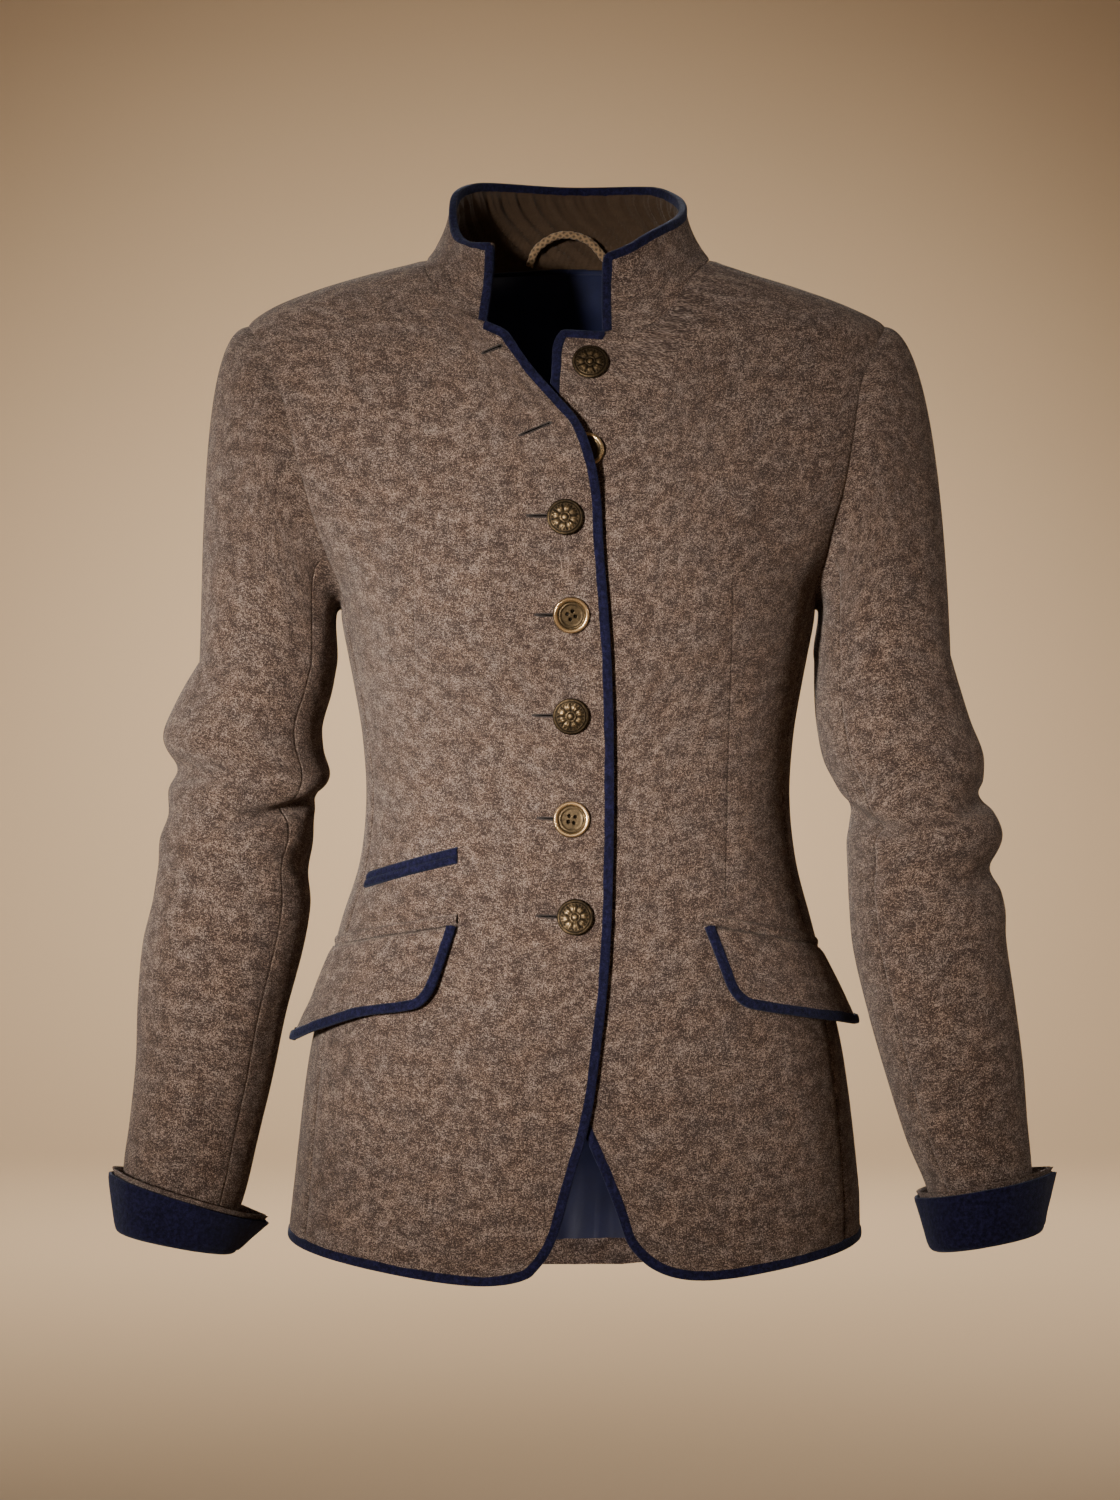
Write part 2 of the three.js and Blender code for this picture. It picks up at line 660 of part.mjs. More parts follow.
function sidePanel(side) {
  const [front, back] = [
    side * degToRad(SIDE_SEAMS.frontHem),
    side * degToRad(SIDE_SEAMS.backHem),
  ];
  const bottom = spread(hemLine(front, back), SIDE_TOP_CELLS);
  const top = armLine(side, SIDE_SEAMS.turn, 360 - SIDE_SEAMS.turn, SIDE_TOP_CELLS);
  const frontUp = spread(frontSeam(side), SIDE_PANEL_CELLS);
  const backUp = spread(backSeam(side), SIDE_PANEL_CELLS);
  const mirror = (line) => [...line].reverse();
  return onTorso(
    side > 0
      ? fillChart(bottom, top, frontUp, backUp)
      : fillChart(mirror(bottom), mirror(top), backUp, frontUp),
  );
}

// Half of the back
function backPanel(side) {
  const middle = side * Math.PI;
  const centre = spread(
    steps(20).map((t) => [middle, lerp(hemAt(middle), neckAt(180)[1], t)]),
    BACK_SIDE_CELLS + BACK_ARM_CELLS,
  );
  const top = joined(
    spread([...shoulderLine(side)].reverse(), SHOULDER_CELLS),
    spread(neckLine(side * 90, side * 180), BACK_NECK_CELLS),
  );
  const bottom = spread(
    hemLine(side * degToRad(SIDE_SEAMS.backHem), middle),
    BACK_CELLS,
  );
  const outer = joined(
    spread(backSeam(side), BACK_SIDE_CELLS),
    armLine(side, -SIDE_SEAMS.turn, 0, BACK_ARM_CELLS),
  );
  const mirror = (line) => [...line].reverse();
  return onTorso(
    side > 0
      ? fillChart(bottom, top, outer, centre)
      : fillChart(mirror(bottom), mirror(top), centre, outer),
  );
}

// Sleeves
function sleevePoint(hand, turn, down) {
  const { table, side } = hand;
  const first = table[table.length - 1];
  const section = (z) => {
    const [outX, inX, inZ, mid, deep] = ['outX', 'inX', 'inZ', 'mid', 'deep'].map((column) =>
      smooth(table, 'outZ', z, column),
    );
    const [cos, sin] = [Math.cos(turn), Math.sin(turn)];
    const wide = Math.sign(cos) * Math.abs(cos) ** TUBE_BLUNT;
    return point(
      side * lerp(inX, outX, (1 + wide) / 2),
      mid - deep * sin,
      lerp(inZ, z, (1 + wide) / 2),
    );
  };
  if (down >= 1) {
    const end = table[0].outZ;
    return section(lerp(first.outZ, end, down - 1));
  }
  const degrees = THREE.MathUtils.radToDeg(turn);
  const [armTurn, armZ] = armhole(side, degrees);
  const start = torso(armTurn, armZ);
  const upper = section(first.outZ);
  const high = (1 + Math.cos(turn)) / 2;
  const away = Math.sin(turn);
  const out = lerp(HEAD.outLow, HEAD.outTop, high ** 1.5) + HEAD.outSide * away * away;
  const leave = point(side * out, -away * HEAD.spread, -HEAD.dropTop * high ** 1.2);
  const enter = point(side * HEAD.intoSide, 0, -lerp(HEAD.intoLow, HEAD.intoTop, high ** 0.9));
  const [t, t2, t3] = [down, down ** 2, down ** 3];
  return start
    .multiplyScalar(2 * t3 - 3 * t2 + 1)
    .addScaledVector(leave, t3 - 2 * t2 + t)
    .addScaledVector(upper, 3 * t2 - 2 * t3)
    .addScaledVector(enter, t3 - t2);
}

const HANDS = {
  right: { side: -1, table: [...SLEEVE_RIGHT].reverse(), cuff: CUFF_SHAPE.right },
  left: { side: 1, table: [...SLEEVE_LEFT].reverse(), cuff: CUFF_SHAPE.left },
};

function sleeveCell(hand, degrees, down) {
  const turn = degToRad(degrees);
  const surface = (u, v) => sleevePoint(hand, u, Math.max(v, 0));
  const normal = normalOf(surface, turn, down, 0.02, 0.004).multiplyScalar(hand.side);
  return { point: sleevePoint(hand, turn, down), normal };
}

// Angles around the armhole where the panels have their corners
function armholeStops(side) {
  const low = SIDE_SEAMS.turn;
  return joined(
    armAngles(side, 0, low, ARM_CELLS),
    armAngles(side, low, 360 - low, SIDE_TOP_CELLS),
    armAngles(side, 360 - low, 360, BACK_ARM_CELLS),
  );
}

// Rows run from the cuff up to the armhole; the thickness of the top row clears the torso
function addSleevePiece(name, hand, stops) {
  const angles = hand.side > 0 ? [...stops].reverse() : stops;
  const cells = stops.length - 1;
  const [cuffZ, upperZ] = [hand.table[0].outZ, hand.table[hand.table.length - 1].outZ];
  const lowRows = hand.table.map(({ outZ }) => 1 + (outZ - upperZ) / (cuffZ - upperZ));
  const downs = [...lowRows, ...HEAD_ROWS];
  const grid = downs.map((down) => angles.map((degrees) => sleeveCell(hand, degrees, down)));
  const rows = downs.length - 1;
  const top = grid[rows];
  const backs = grid.map((row) => row.map((cell) => cell.normal.clone().negate()));
  angles.forEach((degrees, i) => {
    const [turn, z] = armhole(hand.side, degrees);
    const bodyNormal = torsoNormal(turn, z);
    const [nextTurn, nextZ] = armhole(hand.side, degrees + 2);
    const rim = torso(nextTurn, nextZ).sub(torso(turn, z));
    const outOfPanel = rim.cross(bodyNormal).normalize().multiplyScalar(-hand.side);
    const back = backs[rows][i];
    const into = back.dot(outOfPanel);
    if (into < AWAY) back.addScaledVector(outOfPanel, AWAY - into).normalize();
    top[i].point.addScaledVector(outOfPanel, SEAM);
  });
  const trims = [
    ...repeat(0, cells),
    ...repeat(sewn, rows),
    ...repeat(0, cells),
    ...repeat(sewn, rows),
  ];
  trimmed(grid, trims);
  const inner = grid.map((row, j) =>
    row.map((cell, i) => cell.point.clone().addScaledVector(backs[j][i], WOOL)),
  );
  addWall(name, wallOf(grid, 0), inner, WOOL_FINISH);
}

// A turned-back layer around the sleeve end, open at the split, wider at its top.
// Heights are shares of the cuff's height, and the rim is in mm above it.
function addTurnUp(name, hand, { shares, rim, out, wall }, material) {
  const { table, side, cuff } = hand;
  const [bottomZ, topZ] = [table[0].outZ, table[table.length - 1].outZ];
  const grid = shares.map((share) =>
    steps(CUFF.cells).map((u) => {
      const around = lerp(CUFF.halfSplit, 360 - CUFF.halfSplit, side > 0 ? 1 - u : u);
      const turn = cuff.split + around;
      const high = lerp(cuff.highInner, cuff.highOuter, (1 + Math.cos(degToRad(turn))) / 2);
      const v = Math.min(share, 1);
      const z = lerp(CUFF.low, high, v) + (share > 1 ? rim : 0);
      const cell = sleeveCell(hand, turn, 1 + (z - topZ) / (bottomZ - topZ));
      const end = Math.abs(2 * u - 1) ** CUFF.curl;
      cell.point.addScaledVector(cell.normal, out + v * (CUFF.flare + end * cuff.tip));
      return cell;
    }),
  );
  addWall(name, wallOf(grid, wall), wallOf(grid, 0), material);
}

// Collar
// The straight runs between the corners of the panels around the neck, from right to left
const neckCorners = () => {
  const turned = ([turn, z], whole) => ({ degrees: THREE.MathUtils.radToDeg(turn) - whole, turn, z });
  const [rightStart, leftStart] = ['right', 'left'].map((name) => {
    const { x, z } = COLLAR_START[name];
    return THREE.MathUtils.radToDeg(frontTurn(x, z));
  });
  const stretch = (from, to, cells, whole) =>
    spread(neckLine(from, to), cells).map((place) => turned(place, whole));
  return joined(
    stretch(rightStart, -90, NECK_CELLS, 0),
    stretch(-90, -180, BACK_NECK_CELLS, 0),
    stretch(180, 90, BACK_NECK_CELLS, 360),
    stretch(90, leftStart, NECK_CELLS, 360),
  );
};
const corners = neckCorners();

function neckBase(degrees) {
  const next = corners.findIndex((corner) => corner.degrees <= degrees);
  const k = next < 0 ? corners.length - 1 : Math.max(next, 1);
  const [before, after] = [corners[k - 1], corners[k]];
  const share = clamp((degrees - before.degrees) / (after.degrees - before.degrees), 0, 1);
  return torso(before.turn, before.z).lerp(torso(after.turn, after.z), share);
}

function collarPoint(u, v) {
  const turn = degToRad(
    lerp(
      lerp(COLLAR.rightEnd.base, COLLAR.rightEnd.top, v),
      lerp(COLLAR.leftEnd.base, COLLAR.leftEnd.top, v),
      u,
    ),
  );
  const degrees = THREE.MathUtils.radToDeg(turn);
  const base = neckBase(degrees);
  const depth = Math.cos(turn) > 0 ? COLLAR.top.front : COLLAR.top.back;
  const reach = ovalReach(turn, COLLAR.top.half, depth, COLLAR.top.square);
  const inward = 1 - Math.max(0, 1 - v) ** 1.8;
  return point(
    lerp(base.x, reach * Math.sin(turn), inward),
    lerp(base.y, -reach * Math.cos(turn), inward),
    lerp(base.z, smooth(COLLAR_TOP, 'turn', -degrees, 'z'), v),
  );
}

const collarCell = (u, v) => ({
  point: collarPoint(u, v),
  normal: normalOf(collarPoint, u, v, 0.002, 0.01).negate(),
});

// Pieces that lie on the fronts
function addPatch(name, rows, columns, placeAt, wall, material) {
  const grid = steps(rows).map((v) =>
    steps(columns).map((u) => {
      const { x, z, out } = placeAt(u, v);
      const turn = frontTurn(x, z);
      const normal = torsoNormal(turn, z);
      const lift = x < 0 ? frontLift(x, z) : 0;
      return { point: torso(turn, z).addScaledVector(normal, out + lift), normal };
    }),
  );
  addWall(name, wallOf(grid, wall), wallOf(grid, 0), material);
}

// A flap hangs from its top edge and stands away at the bottom
function addFlap(side, table) {
  const rows = table.map((row, k) => ({ ...row, at: k / (table.length - 1) }));
  const value = (column, u) => smooth(rows, 'at', u, column);
  const placeAt = (u, v) => {
    const across = side > 0 ? u : 1 - u;
    return {
      x: lerp(value('low', across), value('top', across), v),
      z: lerp(value('lowZ', across), value('topZ', across), v),
      out: lerp(FLAP.bottom, FLAP.top, v) * lerp(FLAP.inner, 1, across) + FLAP.clear,
    };
  };
  const name = side > 0 ? 'left' : 'right';
  const { cells } = FLAP;
  const grid = steps(FLAP.rows).map((v) =>
    steps(cells).map((u) => {
      const { x, z, out } = placeAt(u, v);
      const turn = frontTurn(x, z);
      const normal = torsoNormal(turn, z);
      const lift = x < 0 ? frontLift(x, z) : 0;
      return { point: torso(turn, z).addScaledVector(normal, out + lift + WOOL), normal };
    }),
  );
  const edge = [
    ...repeat(bound, cells),
    ...repeat(bound, FLAP.rows),
    ...repeat(0, cells),
    ...repeat(bound, FLAP.rows),
  ];
  const places = perimeter(FLAP.rows + 1, cells + 1).map(([j, i]) => grid[j][i]);
  const around = [
    ...places.slice(2 * cells + FLAP.rows),
    ...places.slice(0, cells + FLAP.rows + 1),
  ];
  addBinding(`flap_binding_${name}`, around, WOOL, END_GAP, -1);
  addPanel(`flap_${name}`, grid, edge);
  addPatch(
    `pocket_jet_${name}`,
    1,
    cells,
    (u, v) => {
      const top = placeAt(u, 1);
      return { x: top.x, z: top.z + JET.above + v * JET.high, out: LAID };
    },
    JET.wall,
    WOOL_FINISH,
  );
}

// Buttons
function addButton(name, { x, z, flat, upper }) {
  const turn = frontTurn(x, z);
  const normal = torsoNormal(turn, z);
  const base = torso(turn, z).addScaledVector(normal, (upper ? frontLift(x, z) : 0) + LAID * 0.8);
  const profile = flat
    ? [
        [0.7, 0],
        [1, 0.3],
        [1, 0.75],
        [0.88, 1],
        [0.72, 0.62],
      ]
    : [
        [0.7, 0],
        [0.97, 0.15],
        [1, 0.42],
        [0.72, 0.82],
        [0.36, 1],
      ];
  const height = flat ? BUTTON_HEIGHT * FLAT_BUTTON : BUTTON_HEIGHT;
  const across = point(0, 0, 1).cross(normal).normalize();
  const up = normal.clone().cross(across);
  const rings = profile.map(([wide, high]) =>
    steps(BUTTON_SIDES)
      .slice(1)
      .map((t) => {
        const angle = t * 2 * Math.PI;
        return base
          .clone()
          .addScaledVector(across, BUTTON_RADIUS * wide * Math.cos(angle))
          .addScaledVector(up, BUTTON_RADIUS * wide * Math.sin(angle))
          .addScaledVector(normal, height * high);
      }),
  );
  addRings(name, rings, BRASS_FINISH);
}

// The garment
const right = frontPanel(-1, EDGE_RIGHT, COLLAR_START.right, frontLift);
const left = frontPanel(1, EDGE_LEFT, COLLAR_START.left);
const sides = { right: sidePanel(-1), left: sidePanel(1) };
const backs = { right: backPanel(-1), left: backPanel(1) };
const sideTrims = [
  ...repeat(bound, SIDE_TOP_CELLS),
  ...repeat(sewn, SIDE_PANEL_CELLS + SIDE_TOP_CELLS + SIDE_PANEL_CELLS),
];
const backRows = BACK_SIDE_CELLS + BACK_ARM_CELLS;
const backTrims = [...repeat(0, BACK_CELLS), ...repeat(sewn, backRows + BACK_CELLS + backRows)];

addPanel('front_right', right.grid, right.trims);
addPanel('front_left', left.grid, left.trims);
addPanel('side_right', sides.right, sideTrims);
addPanel('side_left', sides.left, sideTrims);
addPanel('back_right', backs.right, backTrims);
addPanel('back_left', backs.left, backTrims);

const edgeRows = SIDE_CELLS + ARM_CELLS;
const rightPlaces = perimeter(edgeRows + 1, FRONT_CELLS + 1).map(([j, i]) => right.grid[j][i]);
const leftPlaces = perimeter(edgeRows + 1, FRONT_CELLS + 1).map(([j, i]) => left.grid[j][i]);
const rightLine = [
  ...sides.right[0].slice(0, -1),
  ...rightPlaces.slice(0, FRONT_CELLS + edgeRows + NOTCH_CELLS + 1),
];
const leftLine = [
  ...leftPlaces.slice(-edgeRows - NOTCH_CELLS),
  ...leftPlaces.slice(0, FRONT_CELLS),
  ...sides.left[0],
];
addBinding('front_binding_right', rightLine, WOOL, END_GAP, rightLine.length - 1);
addBinding('front_binding_left', leftLine, WOOL, END_GAP, 0);

for (const [name, hand] of Object.entries(HANDS)) {
  const { front, back } = SLEEVE_SEAMS;
  const stops = armholeStops(hand.side);
  addSleevePiece(`sleeve_top_${name}`, hand, [
    ...stops.slice(back - 1, -1).map((degrees) => degrees - 360),
    ...stops.slice(0, front + 1),
  ]);
  addSleevePiece(`sleeve_under_${name}`, hand, stops.slice(front, back));
  const wool = { shares: [0, 0.5, 1, 2], rim: CUFF.rim, out: CUFF.clear, wall: CUFF.wool };
  const felt = { shares: [0, 0.5, 1], rim: 0, out: CUFF.clear + CUFF.wool + SEAM, wall: CUFF.felt };
  addTurnUp(`turnup_${name}`, hand, wool, WOOL_FINISH);
  addTurnUp(`cuff_${name}`, hand, felt, FELT_FINISH);
}

const collarCells = 26;
const collarGrid = steps(COLLAR_ROWS).map((v) => steps(collarCells).map((u) => collarCell(1 - u, v)));
const collarLine = [...perimeter(COLLAR_ROWS + 1, collarCells + 1).slice(collarCells), [0, 0]].map(
  ([j, i]) => collarGrid[j][i],
);
addBinding('collar_binding', collarLine, WOOL + SEAM + SATIN, COLLAR_END_GAP, -1);
const collarTrims = [
  ...repeat(sewn, collarCells),
  ...repeat(bound, COLLAR_ROWS + collarCells + COLLAR_ROWS),
];
addPanel('collar', collarGrid, collarTrims);
addPanel('collar_facing', collarGrid, collarTrims, COTTON_FINISH, -WOOL - SEAM, SATIN);

const liningGrid = backs.left.map((row, j) => [...row, ...backs.right[j].slice(1)]);
const liningTrims = [
  ...repeat(LINING_RISE, 2 * BACK_CELLS),
  ...repeat(LINING_IN, backRows + 2 * BACK_CELLS + backRows),
];
addPanel('lining_back', liningGrid, liningTrims, SATIN_FINISH, -WOOL - SEAM, SATIN);

addFlap(-1, FLAP_RIGHT);
addFlap(1, FLAP_LEFT);

['upper', 'lower'].forEach((name, k) => {
  addPatch(
    `ticket_welt_${name}`,
    1,
    6,
    (u, v) => ({
      x: lerp(TICKET.outX, TICKET.inX, u),
      z: lerp(TICKET.outZ, TICKET.inZ, u) - k * (TICKET.high + SEAM) - (1 - v) * TICKET.high,
      out: LAID + (1 - u) * TICKET.bow,
    }),
    TICKET.wall,
    FELT_FINISH,
  );
});

BUTTONS.forEach((button, k) => addButton(`button_${k + 1}`, button));

const loopPath = new THREE.CatmullRomCurve3(LOOP.map(({ x, y, z }) => point(x, y, z)));
const loopOutline = new THREE.Shape();
for (let k = 0; k < 8; k += 1) {
  const angle = (k / 8) * 2 * Math.PI;
  const place = [LOOP_RADIUS * Math.cos(angle), LOOP_RADIUS * Math.sin(angle)];
  if (k) loopOutline.lineTo(...place);
  else loopOutline.moveTo(...place);
}
const loopMesh = new THREE.Mesh(
  new THREE.ExtrudeGeometry(loopOutline, { steps: 14, extrudePath: loopPath }),
  CORD_FINISH,
);
loopMesh.name = 'hanger_loop';
blazer.add(loopMesh);

export default blazer;
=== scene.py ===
"""A fitted wool blazer with a stand collar, felt-bound edges, flap pockets and turned-back cuffs.

Lengths in the tables are millimetres and angles are degrees, counted around the wearer from the
front middle towards the wearer's left. Every piece is a surface of two parameters, and its place
in metres is in its mesh.
"""

import bpy
import numpy as np
from mathutils import Matrix


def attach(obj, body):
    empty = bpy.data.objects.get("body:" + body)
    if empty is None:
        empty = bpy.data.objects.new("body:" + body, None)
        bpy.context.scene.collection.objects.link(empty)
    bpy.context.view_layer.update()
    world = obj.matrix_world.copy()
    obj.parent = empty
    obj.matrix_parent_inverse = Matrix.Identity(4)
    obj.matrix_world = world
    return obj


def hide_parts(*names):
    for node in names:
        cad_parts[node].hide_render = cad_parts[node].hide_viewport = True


bl_info = {
    "name": "Wool blazer",
    "version": (1, 0, 0),
    "blender": (4, 5, 0),
    "location": "3D View > Sidebar > Blazer",
    "description": "Builds a fitted wool blazer piece by piece",
    "category": "Add Mesh",
}

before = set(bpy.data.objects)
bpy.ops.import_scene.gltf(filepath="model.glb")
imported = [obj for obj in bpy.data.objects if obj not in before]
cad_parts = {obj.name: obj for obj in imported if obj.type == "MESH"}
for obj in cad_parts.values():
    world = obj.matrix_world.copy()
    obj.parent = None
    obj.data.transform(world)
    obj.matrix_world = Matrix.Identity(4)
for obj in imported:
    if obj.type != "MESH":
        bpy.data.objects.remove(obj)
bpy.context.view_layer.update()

MM = 0.001
PREFIX = "worn_"  # sets the pieces' names apart from the nodes they stand for
FAR = 99.0  # a distance that means there is no sewn line near

# Walls of the cloths, the gap in a seam, and the lap of the upper front over the lower one
WOOL = 2.4
TURNUP = 1.6
FELT = 2.2
WELT = 1.8
SATIN = 1.0
SEAM = 0.3
SEWN = {"wide": 2.6, "edge": 0.2, "drop": 0.12}  # width of a groove, and a sewn edge's rounding
OVERLAP = 4.2
LAP = {"start": -84, "full": -34, "wide": 26, "tall": 24, "rise": 7.0}
SQUARE = 2.3  # bluntness of the torso's ovals
BUST = {"x": 74, "z": -212, "wide": 44, "tall": 50, "rise": 9}

# Torso rings: height, half width, depth to the front, depth to the back, x of the middle
BODY = np.array([
    (-640, 178, 121, 112, 4), (-590, 174, 120, 111, 4), (-562, 172, 119, 110, 5),
    (-486, 163, 116, 106, 5), (-440, 153, 113, 101, 5), (-401, 143, 109, 95, 5),
    (-366, 133, 104, 89, 6), (-328, 129, 101, 84, 6), (-290, 131, 104, 87, 6),
    (-257, 136, 109, 92, 6), (-225, 142, 116, 97, 6), (-201, 147, 118, 101, 6),
    (-182, 160, 117, 104, 5), (-161, 173, 115, 106, 4), (-143, 184, 111, 106, 4),
    (-120, 195, 105, 104, 3), (-98, 203, 97, 100, 2), (-68, 208, 84, 92, 0),
    (-54, 204, 78, 87, 0), (-40, 195, 71, 81, -1), (-28, 175, 65, 76, -4),
    (-17, 146, 59, 72, -5), (-8, 116, 54, 68, -4), (0, 89, 49, 64, 0), (8, 76, 43, 59, 0),
], float)
ARMHOLE = {"z": -126, "tall": 86, "front": 62, "back": 56, "blunt": 0.85}
SIDE_SEAMS = {"turn": 150, "front_hem": 72, "back_hem": 108}
HEM = {"side": -592, "front": -617, "back": -622, "turned_up": 26}
NECK = {"half": 86, "front": 75.5, "back": 62, "front_square": 3.2, "back_square": 2.4}

# Front edges from the neck to the hem: x, z
EDGE_RIGHT = np.array([
    (-36, -50), (-22, -71), (-7, -89), (7, -108), (17, -138), (21, -186), (25, -240),
    (26.5, -330), (24, -420), (19, -471), (12, -518), (2, -552), (-5, -578), (-12, -594.5),
    (-22, -607),
], float)
EDGE_LEFT = np.array([
    (-4, -47), (-8.5, -55), (-9.5, -71), (-13, -110), (-18, -160), (-22, -235), (-22, -340),
    (-17, -430), (-5, -485), (12, -529), (19.5, -546), (29, -570), (36, -589), (46, -600),
], float)
COLLAR_START = {"right": (-50, -45), "left": (22, -46)}

# Sleeve sections from the cuff up: z of the outer point, its x, x and z of the inner point,
# y of the middle, half depth. x counts outwards.
SLEEVE_RIGHT = np.array([
    (-588, 267, 207, -600, -29, 32), (-552, 269, 195, -564, -26, 38),
    (-523, 265.5, 188, -534, -24, 40), (-487, 262, 179, -496, -21, 43),
    (-450, 261, 171, -457, -18, 46), (-414, 258, 161, -419, -15, 48),
    (-388, 252, 156.5, -392, -13, 50), (-368, 249.5, 157.5, -372, -11, 51),
    (-351, 248, 155.5, -354, -10, 52), (-337, 243, 155, -340, -9, 52),
    (-322, 243, 152, -327, -8, 53), (-309, 239, 146.5, -312, -7, 51),
    (-292, 245.5, 149, -296, -5, 53), (-281, 244, 149.5, -283, -4, 54),
    (-260, 234, 144, -263, -3, 54), (-244, 224.5, 141, -247, -2, 54),
], float)
SLEEVE_LEFT = np.array([
    (-588, 281, 225, -599, -29, 32), (-552, 280.5, 217, -563, -26, 38),
    (-523, 278, 205, -534, -24, 40), (-487, 275.5, 193, -496, -21, 43),
    (-450, 271, 182, -457, -18, 46), (-414, 266, 173, -418, -15, 48),
    (-384, 263, 170.5, -388, -13, 51), (-369, 258, 170, -373, -11, 50),
    (-350, 263, 169.5, -354, -10, 53), (-335, 258.5, 171, -341, -9, 53),
    (-325, 251.5, 170, -330, -8, 51), (-316, 252.5, 165, -320, -7, 53),
    (-300, 252, 156, -305, -6, 54), (-280, 245, 151.5, -283, -4, 54),
    (-256, 237.5, 150, -262, -3, 54), (-240, 233, 150, -243, -2, 54),
], float)
HEAD = {
    "out_top": 82, "out_side": 26, "out_low": 24, "spread": 22, "drop_top": 12,
    "into_top": 230, "into_low": 38, "into_side": 8,
}
TUBE_BLUNT = 0.92
HEAD_ROWS = np.array([0.82, 0.62, 0.44, 0.28, 0.16, 0.07, 0.0])
TURNED_IN = {"deep": 4.0, "wide": 1.07}
SLEEVE_SEAMS = {"front": 8, "back": -5}
CUFF = {
    "low": -588, "half_split": 4, "flare": 2.4, "curl": 10, "bend": 3.6, "inside": 11,
    "felt_out": 2.0, "wool_out": 2.8, "lip_out": [3.6, 4.6], "lip_rise": [1.6, 3.0],
}
CUFF_COLUMNS = 132
CUFF_ROWS = 14
CUFF_SHAPE = {
    "right": {"split": 196, "outer": -553, "inner": -566, "tip": 12},
    "left": {"split": -14, "outer": -554, "inner": -555, "tip": 8},
}
HANDS = {
    "right": {"side": -1, "table": SLEEVE_RIGHT, "cuff": CUFF_SHAPE["right"]},
    "left": {"side": 1, "table": SLEEVE_LEFT, "cuff": CUFF_SHAPE["left"]},
}

COLLAR_COLUMNS = 220
COLLAR_ROWS = 24
COLLAR = {"half": 72, "front": 62, "back": 67, "square": 2.2}
COLLAR_ENDS = {"base": (-34, -344.5), "top": (-43, -340)}
# Gathers of the facing: lift, depth, greatest depth, free edge, its fade, fade above the neck,
# and how far the facing reaches below the neck
GATHER = {
    "lift": 1.6, "deep": 2.2, "most": 4.2, "free": 5.2, "fade": 5, "foot": 9, "below": 0.07,
}
# Height of the collar's top edge: degrees around the neck, z
COLLAR_TOP = np.array([
    (43, 7), (60, 9), (74, 17), (90, 34), (108, 46), (132, 53), (180, 52), (228, 50.5),
    (247, 44), (270, 34), (285, 27), (311, 15), (327, 5), (340, -1),
], float)

# Flaps from the inner end to the outer one: x and z of the top edge, x and z of the low edge
FLAP_RIGHT = np.array([
    (-65, -402, -80, -449), (-90, -406, -96, -453), (-112, -410, -118, -457),
    (-130, -414, -142, -467), (-139, -417, -156, -476),
], float)
FLAP_LEFT = np.array([
    (80, -402, 96, -449), (103, -406, 113, -453), (123, -410, 132, -457),
    (140, -414, 153, -462), (149, -418, 166, -467),
], float)
FLAP = {"top": 1.6, "bottom": 9, "inner": 0.45, "clear": 0.6}
FLAP_GRID = (73, 37)
FLAP_CORNER = {"across": 0.13, "up": 0.26}
FLAP_END_ROWS = 5  # rows of the outer end that the binding still covers
JET = {"high": 6.5, "above": 0.5, "wall": 1.5}
JET_GRID = (73, 13)
TICKET = {"in_x": -65, "in_z": -355.5, "out_x": -121, "out_z": -371, "high": 5.2, "bow": 0.9}
WELT_GRID = (61, 11)

# Buttons: x, z, four holes or domed, on the upper front or on the lower one
BUTTONS = [
    (13, -68, False, False), (10.5, -121, True, False), (-2, -162, False, True),
    (1.5, -218, True, True), (1.5, -277, False, True), (2, -339, True, True),
    (4, -397, False, True),
]
BUTTON = {"radius": 10.8, "lift": 0.5, "rings": 46, "sides": 120}
BUTTON_BACK = np.array([(0.985, 0.9), (0.93, 0.35), (0.80, 0.0)])  # share of the radius, height
HOLES = ((0.16, 0.16), (-0.16, 0.16), (0.16, -0.16), (-0.16, -0.16))
# Buttonholes on the upper front: x and z of the outer end, x and z of the end at the edge
BUTTONHOLES = [
    (-51, -63.5, -39, -59), (-29, -114, -10, -107), (-24.5, -161, -4, -161),
    (-20, -218, 0, -218), (-21, -276.5, 0, -277), (-18, -338, 0, -339), (-18.5, -396, 2, -397),
]
# The hanger loop's route: x, y, z
LOOP = np.array(
    [(-24, 53.5, 2), (-19, 51.5, 13), (-5, 49, 21), (12, 50, 18), (25, 52.5, 4)], float
)
LOOP_RADIUS = 2.5
BAND_STEP = 1.6

ROUND = 2.3  # millimetres of torso surface for each degree
SLEEVE_ROUND = 0.85  # the same on a sleeve
SLEEVE_HEAD = 190  # millimetres from the armhole to the first section

